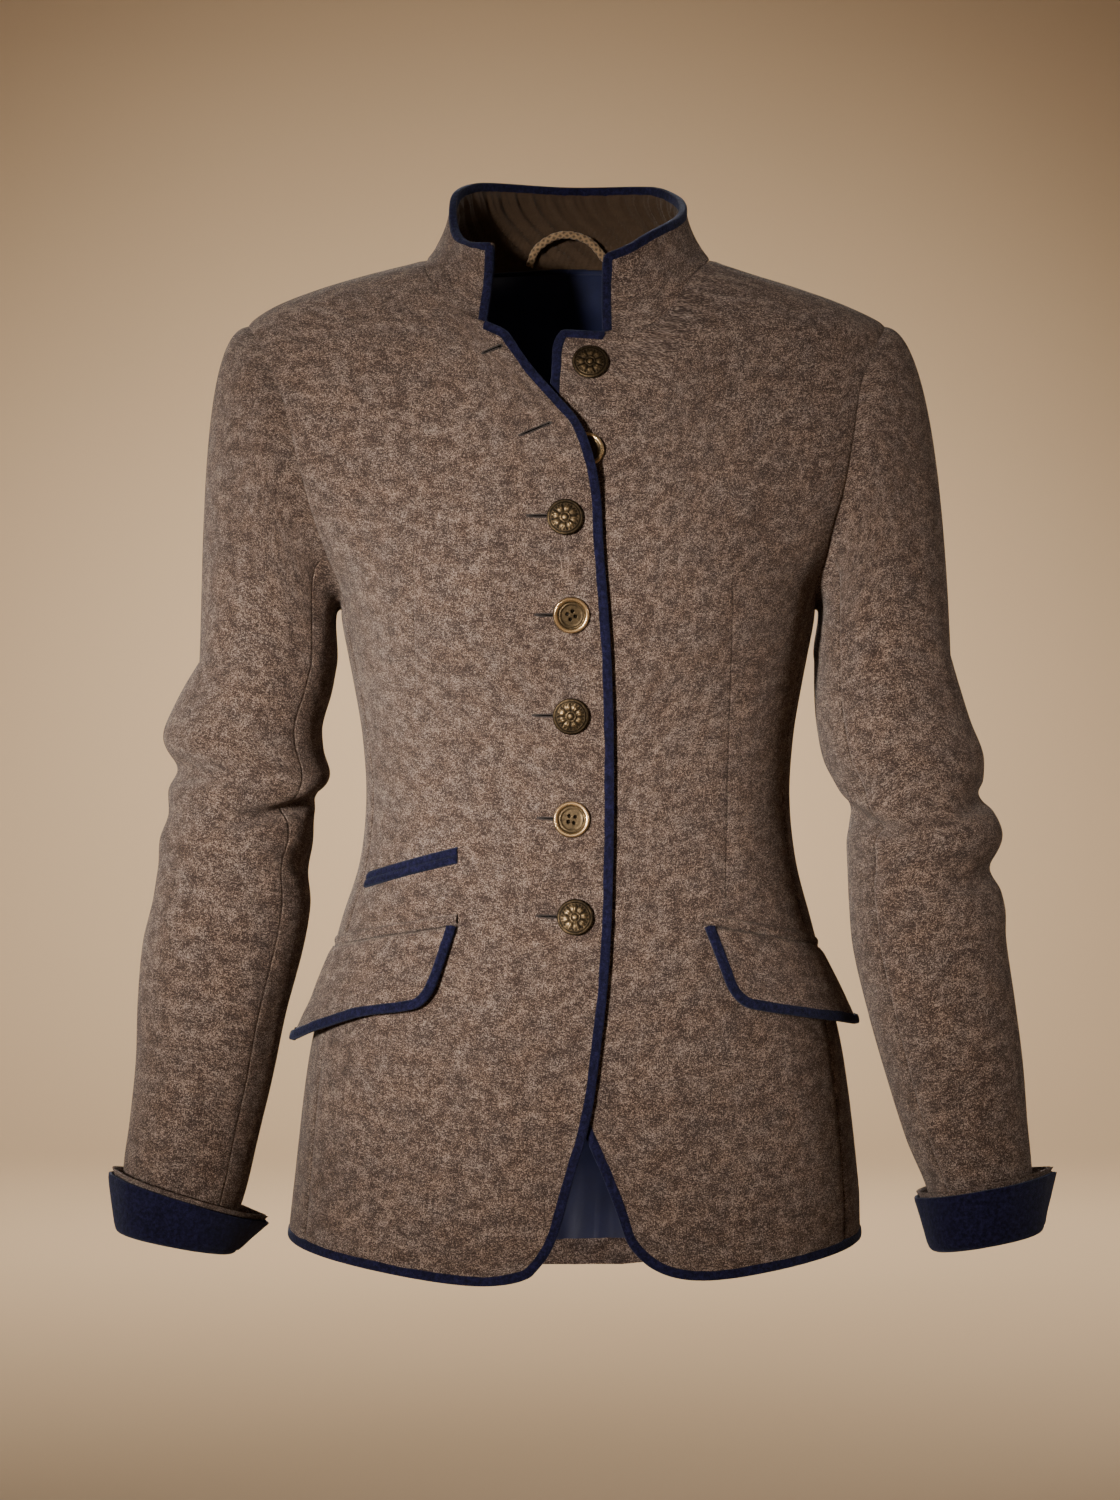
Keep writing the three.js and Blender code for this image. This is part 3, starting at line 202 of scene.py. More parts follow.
# Folds on the torso, troughs below zero: degrees, z, degrees, z, width, depth
TORSO_FOLDS = np.array([
    (-64, -92, -50, -205, 13, -2.6), (-44, -150, -56, -226, 12, 1.6),
    (60, -96, 47, -198, 12, -2.4), (42, -140, 54, -220, 13, 1.7),
    (-78, -318, -34, -300, 11, -1.7), (-74, -338, -40, -345, 10, -1.5),
    (-70, -328, -44, -322, 9, 1.3), (76, -322, 36, -306, 11, -1.8),
    (72, -344, 44, -352, 9, -1.4), (70, -333, 40, -330, 9, 1.2),
    (-26, -438, -18, -560, 15, 1.8), (-52, -500, -46, -590, 16, -2.0),
    (50, -480, 42, -585, 17, -2.2), (24, -450, 22, -560, 14, 1.6),
    (-30, -70, -62, -84, 14, 1.4), (34, -72, 60, -82, 14, 1.3),
    (150, -330, 208, -322, 12, -2.8), (140, -352, 196, -358, 10, -2.2),
    (158, -341, 214, -344, 10, 1.9), (-128, -318, -160, -306, 11, -2.3),
    (122, -120, 146, -226, 14, -3.4), (-122, -118, -144, -214, 14, -3.1),
    (132, -150, 156, -240, 13, 2.2), (-134, -146, -152, -232, 12, 2.0),
    (168, -64, 140, -84, 14, 1.6), (-166, -62, -138, -86, 13, 1.8),
    (150, -450, 154, -600, 17, -3.0), (-152, -440, -156, -596, 18, -2.8),
    (172, -470, 170, -610, 15, 2.4), (-120, -470, -116, -580, 16, -2.2),
    (118, -480, 114, -585, 15, -2.4),
], float)

# Folds on the sleeves: degrees from the outer side over the front, z, degrees, z, width, depth
SLEEVE_FOLDS = {
    "right": np.array([
        (186, -320, 78, -340, 5.0, -8.0), (184, -309, 96, -325, 8, 4.2),
        (170, -342, 70, -356, 11, 3.0),
        (0, -309, 84, -313, 6, -4.4), (14, -290, 128, -304, 14, 3.0),
        (60, -322, 120, -326, 8, 2.4), (10, -366, 96, -380, 9, -2.0),
        (132, -360, 180, -366, 8, -2.4), (96, -150, 28, -236, 8, -2.4),
        (70, -176, 20, -262, 12, 2.0), (120, -190, 112, -280, 10, -2.0),
        (40, -410, 120, -446, 13, 1.7), (30, -470, 100, -498, 14, -1.6),
        (110, -500, 60, -560, 12, 1.5), (150, -420, 140, -520, 12, -1.6),
        (196, -326, 262, -345, 7, -5.0), (330, -302, 290, -318, 8, -3.6),
        (200, -345, 300, -356, 13, 2.8), (345, -372, 270, -388, 10, -2.4),
        (300, -150, 330, -240, 11, -2.4), (250, -420, 320, -452, 13, 1.9),
        (240, -500, 290, -540, 13, -1.7),
    ], float),
    "left": np.array([
        (0, -325, 84, -335, 6, -5.4), (0, -369, 92, -383, 6.5, -4.8),
        (182, -326, 92, -349, 5.5, -7.2), (180, -315, 104, -334, 8, 3.6),
        (6, -347, 118, -358, 12, 3.2),
        (16, -300, 140, -310, 14, 2.8), (0, -394, 70, -404, 10, 2.2),
        (176, -352, 120, -368, 9, -3.0), (150, -374, 90, -400, 12, 2.0),
        (84, -156, 34, -232, 9, -2.0), (60, -184, 24, -262, 12, 1.9),
        (126, -180, 118, -276, 10, -2.2), (100, -430, 40, -470, 13, -1.7),
        (60, -440, 130, -500, 13, 1.7), (120, -520, 70, -566, 12, -1.5),
        (196, -330, 270, -350, 7, -5.2), (340, -330, 286, -346, 8, -3.8),
        (200, -350, 304, -362, 13, 2.9), (350, -378, 276, -394, 10, -2.6),
        (300, -150, 332, -236, 11, -2.4), (246, -430, 316, -460, 13, 1.9),
        (236, -506, 292, -548, 13, -1.7),
    ], float),
}
# Lining: height over which its waves fade, slack, depths of its upright and its slanting waves,
# height above the hem, and the lengths over which they fade at the sides and the top
LINING = {
    "fade": 520, "loose": 1.2, "wave": 3.2, "slant": 1.1, "rise": 13, "side": 30, "top": 24,
}
# Pleats of the lining: place across, width, depth
PLEATS = ((11, 3.5, 7.0), (-13, 5, 5.0), (34, 6, 4.0))
# Sewn darts on the fronts: x and z of the upper end, x and z of the lower end
DARTS = {"right": (-92, -180, -91, -262), "left": (98, -206, 94, -386)}

# Cells of the panels, and how many times finer the cloth is
FINE = 8
SIDE_CELLS = 13
ARM_CELLS = 9
BACK_SIDE_CELLS = 11
BACK_ARM_CELLS = 8
SIDE_PANEL_CELLS = 14
SIDE_TOP_CELLS = 5
NOTCH_CELLS = 1
NECK_CELLS = 4
BACK_NECK_CELLS = 3
SHOULDER_CELLS = 6

# Points that a line is drawn with before it is spaced evenly
POINTS = {"edge": 180, "notch": 7, "hem": 25, "neck": 25, "shoulder": 17, "seam": 21, "arm": 121}

# Camera: place in metres, focal length and frame height in pixels
CAMERA = {"x": -0.0049, "y": -3.2, "z": -0.2977, "focus": 5245.9, "frame": 1500, "film": 36}
# Floor in metres: height, radius of its flat part, width and height of the curve behind it
FLOOR = {"z": -0.86, "flat": 4.2, "curve": 2.4, "rise": 3.4, "sides": 96}
ROOM = {"colour": "d9c7b2", "light": 0.08}
# Lights in metres, watts and degrees: name, place, aim, size, power, colour, spread
LIGHTS = (
    ("key", (-1.9, -4.0, 0.1), (-0.07, -0.1, -0.30), 0.55, 2.4, (1.0, 0.95, 0.89), 11),
    ("fill", (2.9, -3.2, 0.3), (0.1, 0, -0.3), 2.4, 0.6, (0.95, 0.96, 1.0), 120),
    ("back", (-0.5, 4.3, 1.7), (0, 0.05, -0.35), 0.9, 2.6, (1.0, 0.96, 0.92), 15),
    ("side left", (4.3, 0.4, 0.5), (0.1, 0, -0.3), 0.9, 0.6, (1.0, 0.96, 0.92), 14),
    ("side right", (-4.3, 0.4, 0.5), (-0.1, 0, -0.3), 0.9, 0.5, (1.0, 0.96, 0.92), 14),
    ("top", (0.3, 0.9, 3.6), (0, 0, -0.2), 1.6, 0.6, (1.0, 0.97, 0.93), 70),
    ("rim left", (-3.3, 2.9, 1.0), (0, 0, -0.3), 1.6, 4, (1.0, 0.97, 0.93), 50),
    ("rim right", (3.1, 3.2, 0.9), (0, 0, -0.3), 1.8, 3, (1.0, 0.97, 0.93), 50),
    ("halo", (0, 0.6, 4.4), (-0.1, 5.3, 0.0), 0.8, 11.5, (1.0, 0.92, 0.79), 28),
    ("floor glow", (0, 1.6, 4.4), (0, 3.1, -0.86), 1.0, 46, (1.0, 0.91, 0.77), 60),
    ("hem glow", (0.015, -0.03, -0.70), (0.015, 0.1, -0.56), 0.10, 0.09, (1.0, 0.97, 0.95), 100),
    ("wash back", (0, 0.6, 4.4), (0, 5.6, 0.2), 2.0, 12, (1.0, 0.92, 0.82), 90),
    ("wash front", (0, -0.6, 4.4), (0, -5.6, 0.2), 2.0, 34, (1.0, 0.94, 0.86), 90),
    ("wash left", (-0.6, 0, 4.4), (-5.6, 0, 0.2), 2.0, 30, (1.0, 0.94, 0.86), 90),
    ("wash right", (0.6, 0, 4.4), (5.6, 0, 0.2), 2.0, 30, (1.0, 0.94, 0.86), 90),
)



# Tables and lines

def smooth(keys, values, at):
    """Cubic through a table's rows: the slope at a row is that of the chord between its
    neighbours, and beyond the ends the value stays."""
    at = np.asarray(at, float)
    last = len(keys) - 1
    i = np.clip(np.searchsorted(keys, at, side="right"), 1, last)
    k = np.arange(last + 1)
    before, after = np.maximum(k - 1, 0), np.minimum(k + 1, last)
    slope = (values[after] - values[before]) / (keys[after] - keys[before])
    span = keys[i] - keys[i - 1]
    t = np.clip((at - keys[i - 1]) / span, 0, 1)
    rise = values[i] - values[i - 1]
    bend = t * (1 - t) * ((1 - t) * (slope[i - 1] * span - rise) - t * (slope[i] * span - rise))
    return values[i - 1] + t * rise + bend


def solve(low, high, test):
    """Halves the interval 40 times towards where the rising test crosses zero."""
    low, high = np.array(low, float), np.array(high, float)
    for _ in range(40):
        middle = (low + high) / 2
        above = test(middle) > 0
        high = np.where(above, middle, high)
        low = np.where(above, low, middle)
    return (low + high) / 2


def mix(a, b, t):
    """a at t 0, b at t 1, straight between."""
    return a + (b - a) * t


def unit(vectors):
    """Each vector divided by its length."""
    return vectors / np.maximum(np.linalg.norm(vectors, axis=-1, keepdims=True), 1e-9)


def reached(points):
    """Length along a line of points, from zero at its start."""
    steps = np.linalg.norm(np.diff(points, axis=0), axis=1)
    return np.concatenate([[0.0], np.cumsum(steps)])


def joined(*lines):
    """The lines one after another, with each shared end kept once."""
    return np.concatenate([line if k == 0 else line[1:] for k, line in enumerate(lines)])


def through(points, count):
    """A curve through points by the centripetal rule: on each span a cubic whose end slopes come
    from the neighbours, weighted by the square roots of the spans' lengths."""
    padded = np.concatenate([[2 * points[0] - points[1]], points, [2 * points[-1] - points[-2]]])
    place = np.linspace(0, len(points) - 1, count + 1)
    i = np.minimum(place.astype(int), len(points) - 2)
    t = (place - i)[:, None]
    p0, p1, p2, p3 = padded[i], padded[i + 1], padded[i + 2], padded[i + 3]
    d0, d1, d2 = (
        np.sqrt(np.linalg.norm(b - a, axis=1))[:, None] for a, b in ((p0, p1), (p1, p2), (p2, p3))
    )
    s1 = ((p1 - p0) / d0 - (p2 - p0) / (d0 + d1) + (p2 - p1) / d1) * d1
    s2 = ((p2 - p1) / d1 - (p3 - p1) / (d1 + d2) + (p3 - p2) / d2) * d1
    square, cube = -3 * p1 + 3 * p2 - 2 * s1 - s2, 2 * p1 - 2 * p2 + s1 + s2
    return p1 + s1 * t + square * t**2 + cube * t**3


def soften(values, spread_by):
    """Weighted mean of each row's neighbours along a line, by a bell curve of that spread."""
    reach = int(3 * spread_by) + 1
    bell = np.exp(-0.5 * (np.arange(-reach, reach + 1) / spread_by) ** 2)
    bell /= bell.sum()
    wide = np.concatenate([values[:1].repeat(reach, 0), values, values[-1:].repeat(reach, 0)])
    return np.stack([np.convolve(wide[:, k], bell, "valid") for k in range(values.shape[1])], 1)


def waves(s, seed, longest=60.0, count=5):
    """A sum of sines of falling wavelength and height along s, between about -1 and 1."""
    rng = np.random.default_rng(seed)
    total = 0.0
    for k in range(count):
        length = longest / (1.7**k) * rng.uniform(0.8, 1.25)
        total = total + np.sin(2 * np.pi * s / length + rng.uniform(0, 6.28)) / (1.5**k)
    return total / 2.2


def folded(across, up, table, strength):
    """Sum of soft folds. Each is a bell of its width around a straight stretch from one end to
    the other, and its depth falls off towards both ends as a half sine."""
    total = np.zeros(np.broadcast(across, up).shape)
    for a0, u0, a1, u1, width, depth in table:
        da, du = a1 - a0, u1 - u0
        t = np.clip(((across - a0) * da + (up - u0) * du) / (da * da + du * du), 0, 1)
        away = (across - a0 - t * da) ** 2 + (up - u0 - t * du) ** 2
        total += depth * (0.3 + 0.7 * np.sin(np.pi * t)) * np.exp(-away / width**2)
    return total * strength


def evenly(columns, rows, low=0.0):
    """Shares across and up, from low to 1, of a grid with that many columns and rows."""
    return np.meshgrid(np.linspace(low, 1, columns), np.linspace(low, 1, rows))


# The torso

def oval(turn, half, depth, square):
    """Reach of a blunt oval: (|sin/half|^n + |cos/depth|^n)^(-1/n)."""
    return (np.abs(np.sin(turn) / half) ** square + np.abs(np.cos(turn) / depth) ** square) ** (
        -1 / square
    )


def plain_torso(turn, z):
    """Rings of the body table at each height, blunt ovals in plan, with the bust as a bell."""
    turn, z = np.broadcast_arrays(np.asarray(turn, float), np.asarray(z, float))
    half, front, back, mid = (smooth(BODY[:, 0], BODY[:, c], z) for c in (1, 2, 3, 4))
    facing = np.cos(turn) > 0
    reach = oval(turn, half, np.where(facing, front, back), SQUARE)
    side = np.abs(reach * np.sin(turn)) - BUST["x"]
    bell = np.exp(-((side / BUST["wide"]) ** 2) - ((z - BUST["z"]) / BUST["tall"]) ** 2)
    reach = reach + np.where(facing, BUST["rise"] * bell, 0)
    return np.stack([mid + reach * np.sin(turn), -reach * np.cos(turn), z], -1)


def torso(turn, z):
    """The plain torso pushed in and out along its radius by the table of folds."""
    points = plain_torso(turn, z)
    turn = np.broadcast_to(turn, points.shape[:-1])
    degrees = (np.degrees(turn) + 180) % 360 - 180
    table = TORSO_FOLDS * np.array([ROUND, 1, ROUND, 1, 1, 1])
    around = np.where(degrees < -90, degrees + 360, degrees)
    depth = np.where(
        np.abs(degrees) > 90,
        folded(around * ROUND, points[..., 2], wrapped(table), 1),
        folded(degrees * ROUND, points[..., 2], table, 1),
    )
    points[..., 0] += depth * np.sin(turn)
    points[..., 1] -= depth * np.cos(turn)
    return points


def wrapped(table):
    """The same folds with angles past the side seam counted on around the back."""
    table = table.copy()
    for column in (0, 2):
        past = table[:, column] < -90 * ROUND
        table[past, column] += 360 * ROUND
    return table


def torso_normal(turn, z):
    """Cross product of small steps around and up the folded torso."""
    around = torso(turn + 0.01, z) - torso(turn - 0.01, z)
    up = torso(turn, z + 0.8) - torso(turn, z - 0.8)
    return unit(np.cross(around, up))


def front_turn(x, z):
    """Angle at which the plain torso's front has this x."""
    x, z = np.broadcast_arrays(np.asarray(x, float), np.asarray(z, float))
    low = np.full(x.shape, -np.pi / 2)
    return solve(low, -low, lambda turn: plain_torso(turn, z)[..., 0] - x)


def side_turn(side, y, z):
    """Angle at which the plain torso's side has this y."""
    y, z = np.broadcast_arrays(np.asarray(y, float), np.asarray(z, float))
    low = np.zeros(y.shape)
    return side * solve(low, low + np.pi, lambda turn: plain_torso(turn, z)[..., 1] - y)


def front_lift(x, z):
    """How far the upper front lies over the lower one: a smooth step, and a bell over the
    hidden second button."""
    t = np.clip((x - LAP["start"]) / (LAP["full"] - LAP["start"]), 0, 1)
    over = OVERLAP * t * t * (3 - 2 * t)
    hidden = BUTTONS[1]
    near = ((x - hidden[0]) / LAP["wide"]) ** 2 + ((z - hidden[1]) / LAP["tall"]) ** 2
    return over + LAP["rise"] * np.exp(-near)


def spread(line, count):
    """Places spaced evenly by length along a line of chart places."""
    length = reached(plain_torso(line[:, 0], line[:, 1]))
    at = np.linspace(0, length[-1], count + 1)
    return np.stack([np.interp(at, length, line[:, c]) for c in (0, 1)], 1)


def fill_chart(bottom, top, left, right):
    """Blend of four lines: the mean across plus the mean up, less the blend of the corners."""
    u = np.linspace(0, 1, len(bottom))[None, :, None]
    v = np.linspace(0, 1, len(left))[:, None, None]
    corners = mix(mix(bottom[0], bottom[-1], u), mix(top[0], top[-1], u), v)
    return mix(bottom[None], top[None], v) + mix(left[:, None], right[:, None], u) - corners


def on_torso(chart, lift=None):
    """Points and normals of a grid of chart places, raised by the lift."""
    turn, z = chart[..., 0], chart[..., 1]
    points, normals = torso(turn, z), torso_normal(turn, z)
    if lift:
        points = points + normals * lift(plain_torso(turn, z)[..., 0], z)[..., None]
    return points, normals


def armhole(side, degrees):
    """Chart places of the armhole, an egg in the side view."""
    angle = np.radians(degrees)
    deep = np.where(np.sin(angle) > 0, -ARMHOLE["front"], ARMHOLE["back"])
    y = deep * np.abs(np.sin(angle)) ** ARMHOLE["blunt"]
    z = ARMHOLE["z"] + ARMHOLE["tall"] * np.cos(angle)
    return np.stack([side_turn(side, y, z), z], -1)


def hem_at(turn):
    """Height of the hem: lower at the front and the back than at the sides."""
    facing = np.cos(turn)
    middle = np.where(facing > 0, HEM["front"], HEM["back"])
    return mix(HEM["side"], middle, np.minimum(1, np.abs(facing) ** 1.4 * 1.05))


def hem_line(start, end):
    turn = np.linspace(start, end, POINTS["hem"])
    return np.stack([turn, hem_at(turn)], 1)


def neck_at(degrees):
    """Where the torso has the reach of the neck's oval."""
    turn = np.radians(np.asarray(degrees, float))
    facing = np.cos(turn) > 0
    reach = np.where(
        facing,
        oval(turn, NECK["half"], NECK["front"], NECK["front_square"]),
        oval(turn, NECK["half"], NECK["back"], NECK["back_square"]),
    )

    def beyond(drop):
        half, front, back = (smooth(BODY[:, 0], BODY[:, c], -drop) for c in (1, 2, 3))
        return oval(turn, half, np.where(facing, front, back), SQUARE) - reach

    drop = solve(np.full(turn.shape, -8.0), np.full(turn.shape, 110.0), beyond)
    return np.stack([turn, -drop], -1)


def neck_line(start, end):
    return neck_at(np.linspace(start, end, POINTS["neck"]))


def shoulder_line(side):
    z = np.linspace(neck_at(90)[1], ARMHOLE["z"] + ARMHOLE["tall"], POINTS["shoulder"])
    return np.stack([np.full(len(z), side * np.pi / 2), z], 1)


def arm_angles(side, start, end, count):
    """Angles that cut a stretch of the armhole into equal lengths."""
    samples = np.linspace(start, end, POINTS["arm"])
    place = armhole(side, samples)
    length = reached(plain_torso(place[:, 0], place[:, 1]))
    return np.interp(np.linspace(0, length[-1], count + 1), length, samples)


def seam_line(side, hem_degrees, arm_degrees):
    """Straight line in the chart from the hem up to the armhole."""
    top = armhole(side, np.array(float(arm_degrees)))
    turn = side * np.radians(hem_degrees)
    t = np.linspace(0, 1, POINTS["seam"])
    return np.stack([mix(turn, top[0], t), mix(hem_at(turn), top[1], t)], 1)


def front_seam(side):
    return seam_line(side, SIDE_SEAMS["front_hem"], SIDE_SEAMS["turn"])


def back_seam(side):
    return seam_line(side, SIDE_SEAMS["back_hem"], -SIDE_SEAMS["turn"])


def front_chart(side, table, collar_start):
    """A front from its edge to the side seam and the armhole. Columns run to the right as seen
    from outside, rows run up."""
    flat = np.column_stack([table[::-1, 0], np.zeros(len(table)), table[::-1, 1]])
    edge_xz = through(flat, POINTS["edge"])
    edge = np.stack([front_turn(edge_xz[:, 0], edge_xz[:, 2]), edge_xz[:, 2]], 1)
    start = float(np.degrees(front_turn(*collar_start)))
    notch = mix(edge[-1], neck_at(start), np.linspace(0, 1, POINTS["notch"])[:, None])
    top = joined(
        spread(notch, NOTCH_CELLS * FINE),
        spread(neck_line(start, side * 90), NECK_CELLS * FINE),
        spread(shoulder_line(side), SHOULDER_CELLS * FINE),
    )
    bottom = hem_line(edge[0, 0], side * np.radians(SIDE_SEAMS["front_hem"]))
    fade = (1 - np.linspace(0, 1, POINTS["hem"])) ** 6
    bottom[:, 1] += (edge[0, 1] - bottom[0, 1]) * fade
    bottom = spread(bottom, len(top) - 1)
    arms = arm_angles(side, SIDE_SEAMS["turn"], 0, ARM_CELLS * FINE)
    outer = joined(spread(front_seam(side), SIDE_CELLS * FINE), armhole(side, arms))
    inner = spread(edge, len(outer) - 1)
    if side > 0:
        return fill_chart(bottom, top, inner, outer)
    return fill_chart(bottom[::-1], top[::-1], outer, inner)


def side_chart(side):
    """The panel under the arm, between the side seams."""
    front, back = (side * np.radians(SIDE_SEAMS[k]) for k in ("front_hem", "back_hem"))
    bottom = spread(hem_line(front, back), SIDE_TOP_CELLS * FINE)
    low = SIDE_SEAMS["turn"]
    top = armhole(side, arm_angles(side, low, 360 - low, SIDE_TOP_CELLS * FINE))
    front_up, back_up = (spread(f(side), SIDE_PANEL_CELLS * FINE) for f in (front_seam, back_seam))
    if side > 0:
        return fill_chart(bottom, top, front_up, back_up)
    return fill_chart(bottom[::-1], top[::-1], back_up, front_up)


def back_chart(side):
    """Half of the back, from the side-back seam to the middle."""
    middle = side * np.pi
    z = np.linspace(hem_at(middle), neck_at(180)[1], POINTS["seam"])
    rows = (BACK_SIDE_CELLS + BACK_ARM_CELLS) * FINE
    centre = spread(np.stack([np.full(len(z), middle), z], 1), rows)
    top = joined(
        spread(shoulder_line(side)[::-1], SHOULDER_CELLS * FINE),
        spread(neck_line(side * 90, side * 180), BACK_NECK_CELLS * FINE),
    )
    bottom = spread(hem_line(side * np.radians(SIDE_SEAMS["back_hem"]), middle), len(top) - 1)
    arms = arm_angles(side, -SIDE_SEAMS["turn"], 0, BACK_ARM_CELLS * FINE)
    outer = joined(spread(back_seam(side), BACK_SIDE_CELLS * FINE), armhole(side, arms))
    if side > 0:
        return fill_chart(bottom, top, outer, centre)
    return fill_chart(bottom[::-1], top[::-1], centre, outer)


# Sleeves and collar

def sleeve_plain(hand, turn, down):
    """Below 1 a cubic from the armhole to the upper arm, above 1 ovals of the table's sections."""
    table, side = hand["table"], hand["side"]
    turn, down = np.broadcast_arrays(np.asarray(turn, float), np.asarray(down, float))
    z_out = mix(table[-1, 0], table[0, 0], np.clip(down - 1, 0, 1))
    out_x, in_x, in_z, mid, deep = (smooth(table[:, 0], table[:, c], z_out) for c in range(1, 6))
    cos, sin = np.cos(turn), np.sin(turn)
    t = (1 + np.sign(cos) * np.abs(cos) ** TUBE_BLUNT) / 2
    tube = np.stack([side * mix(in_x, out_x, t), mid - deep * sin, mix(in_z, z_out, t)], -1)
    place = armhole(side, np.degrees(turn))
    start = plain_torso(place[..., 0], place[..., 1])
    high = (1 + cos) / 2
    out = mix(HEAD["out_low"], HEAD["out_top"], high**1.5) + HEAD["out_side"] * sin**2
    leave = np.stack([side * out, -sin * HEAD["spread"], -HEAD["drop_top"] * high**1.2], -1)
    into = -mix(HEAD["into_low"], HEAD["into_top"], high**0.9)
    enter = np.stack([np.full(high.shape, side * HEAD["into_side"]), 0 * high, into], -1)
    s = np.clip(down, 0, 1)[..., None]
    head = (
        start * (2 * s**3 - 3 * s**2 + 1)
        + leave * (s**3 - 2 * s**2 + s)
        + tube * (3 * s**2 - 2 * s**3)
        + enter * (s**3 - s**2)
    )
    return np.where(down[..., None] >= 1, tube, head)


def sleeve_normal(hand, turn, down):
    """Cross product of small steps around and down the plain sleeve, pointing out."""
    around = sleeve_plain(hand, turn + 0.02, down) - sleeve_plain(hand, turn - 0.02, down)
    lower = sleeve_plain(hand, turn, down + 0.004)
    along = lower - sleeve_plain(hand, turn, np.maximum(down - 0.004, 0))
    return unit(np.cross(around, along)) * hand["side"]


def sleeve_grid(name, degrees, down, strength):
    """Points and normals of the sleeve, pushed along the normals by its folds."""
    hand = HANDS[name]
    turn = np.radians(degrees)
    points, normals = sleeve_plain(hand, turn, down), sleeve_normal(hand, turn, down)
    upper, cuff = hand["table"][-1, 0], hand["table"][0, 0]
    z = np.where(down >= 1, mix(upper, cuff, down - 1), upper + (1 - down) * SLEEVE_HEAD)
    table = SLEEVE_FOLDS[name] * np.array([SLEEVE_ROUND, 1, SLEEVE_ROUND, 1, 1, 1])
    total = 0.0
    for turned in (-360, 0, 360):
        total = total + folded((degrees + turned) * SLEEVE_ROUND, z, table, strength)
    total = total * np.clip(down / 0.3, 0, 1)
    return points + normals * total[..., None], normals


def armhole_stops(side):
    """Angles around the armhole that the panels and the sleeve pieces share."""
    low = SIDE_SEAMS["turn"]
    return joined(
        arm_angles(side, 0, low, ARM_CELLS * FINE),
        arm_angles(side, low, 360 - low, SIDE_TOP_CELLS * FINE),
        arm_angles(side, 360 - low, 360, BACK_ARM_CELLS * FINE),
    )


def collar_plain(u, v):
    """From the neck up to the collar's top oval, leaning in as 1 - (1 - v)^1.8."""
    turn_base = mix(COLLAR_ENDS["base"][0], COLLAR_ENDS["base"][1], u)
    turn_top = mix(COLLAR_ENDS["top"][0], COLLAR_ENDS["top"][1], u)
    degrees = mix(turn_base, turn_top, v)
    turn = np.radians(degrees)
    place = neck_at(degrees)
    base = plain_torso(place[..., 0], place[..., 1])
    depth = np.where(np.cos(turn) > 0, COLLAR["front"], COLLAR["back"])
    reach = oval(turn, COLLAR["half"], depth, COLLAR["square"])
    inward = 1 - np.maximum(0, 1 - v) ** 1.8
    top_z = smooth(COLLAR_TOP[:, 0], COLLAR_TOP[:, 1], -degrees)
    return np.stack([
        mix(base[..., 0], reach * np.sin(turn), inward),
        mix(base[..., 1], -reach * np.cos(turn), inward),
        mix(base[..., 2], top_z, v),
    ], -1)


def collar_grid(columns, rows, below=0.0):
    """Points and normals of the collar, from right to left as seen from outside. The low edge
    reaches below the neck by that share, fading out towards the two ends."""
    u, v = evenly(columns + 1, rows + 1)
    u = 1 - u
    v = v - below * (1 - v) * np.clip(4 * np.minimum(u, 1 - u), 0, 1)
    around = collar_plain(u + 0.002, v) - collar_plain(u - 0.002, v)
    up = collar_plain(u, v + 0.01) - collar_plain(u, v - 0.01)
    return collar_plain(u, v), -unit(np.cross(around, up))


# Meshes

def collect(name, points, faces, uv, lines, finishes, index=None, stands=True):
    """Makes the object: points in millimetres, faces as lists of corners, one uv and one lines
    vector for each point. lines holds the distance to the nearest sewn edge, the signed distance
    to a dart, and the length along. On brass the first is how raised the place is. index picks
    each face's finish, and a piece stands for the node of its name unless told otherwise."""
    mesh = bpy.data.meshes.new(name)
    mesh.from_pydata((points * MM).tolist(), [], faces)
    corner = np.empty(len(mesh.loops), np.int32)
    mesh.loops.foreach_get("vertex_index", corner)
    layer = mesh.uv_layers.new(name="cloth")
    layer.data.foreach_set("uv", (uv * MM)[corner].astype(np.float32).ravel())
    data = mesh.attributes.new("lines", "FLOAT_VECTOR", "POINT")
    data.data.foreach_set("vector", lines.astype(np.float32).ravel())
    for key in finishes:
        mesh.materials.append(finish_of(key))
    index = np.zeros(len(faces)) if index is None else index
    mesh.polygons.foreach_set("material_index", index.astype(np.int32))
    mesh.polygons.foreach_set("use_smooth", np.ones(len(mesh.polygons), bool))
    mesh.set_sharp_from_angle(angle=1.0)
    mesh.update()
    piece = bpy.data.objects.new(PREFIX + name, mesh)
    bpy.context.scene.collection.objects.link(piece)
    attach(piece, "root")
    if stands:
        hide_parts(name)
    return piece


def grid_faces(rows, columns, start=0, flip=False):
    """Corner numbers of a grid's cells, rows upwards, seen from outside."""
    j, i = np.meshgrid(np.arange(rows - 1), np.arange(columns - 1), indexing="ij")
    a = (start + j * columns + i).ravel()
    cells = np.stack([a, a + 1, a + columns + 1, a + columns], 1)
    return cells[:, ::-1] if flip else cells


def rim_faces(rows, columns):
    """Strip that joins the outer grid's border to the inner grid's."""
    top = (rows - 1) * columns
    ring = np.concatenate([
        np.arange(columns - 1),
        np.arange(rows - 1) * columns + columns - 1,
        top + np.arange(columns - 1, 0, -1),
        np.arange(rows - 1, 0, -1) * columns,
    ])
    after = np.roll(ring, -1)
    deep = rows * columns
    return np.stack([after, ring, ring + deep, after + deep], 1)


def wall_faces(rows, columns, start=0):
    """Faces of an outer grid, of the inner grid behind it, and of the strip that joins them."""
    back = start + rows * columns
    return np.concatenate([
        grid_faces(rows, columns, start), grid_faces(rows, columns, back, True),
        rim_faces(rows, columns) + start,
    ]).tolist()


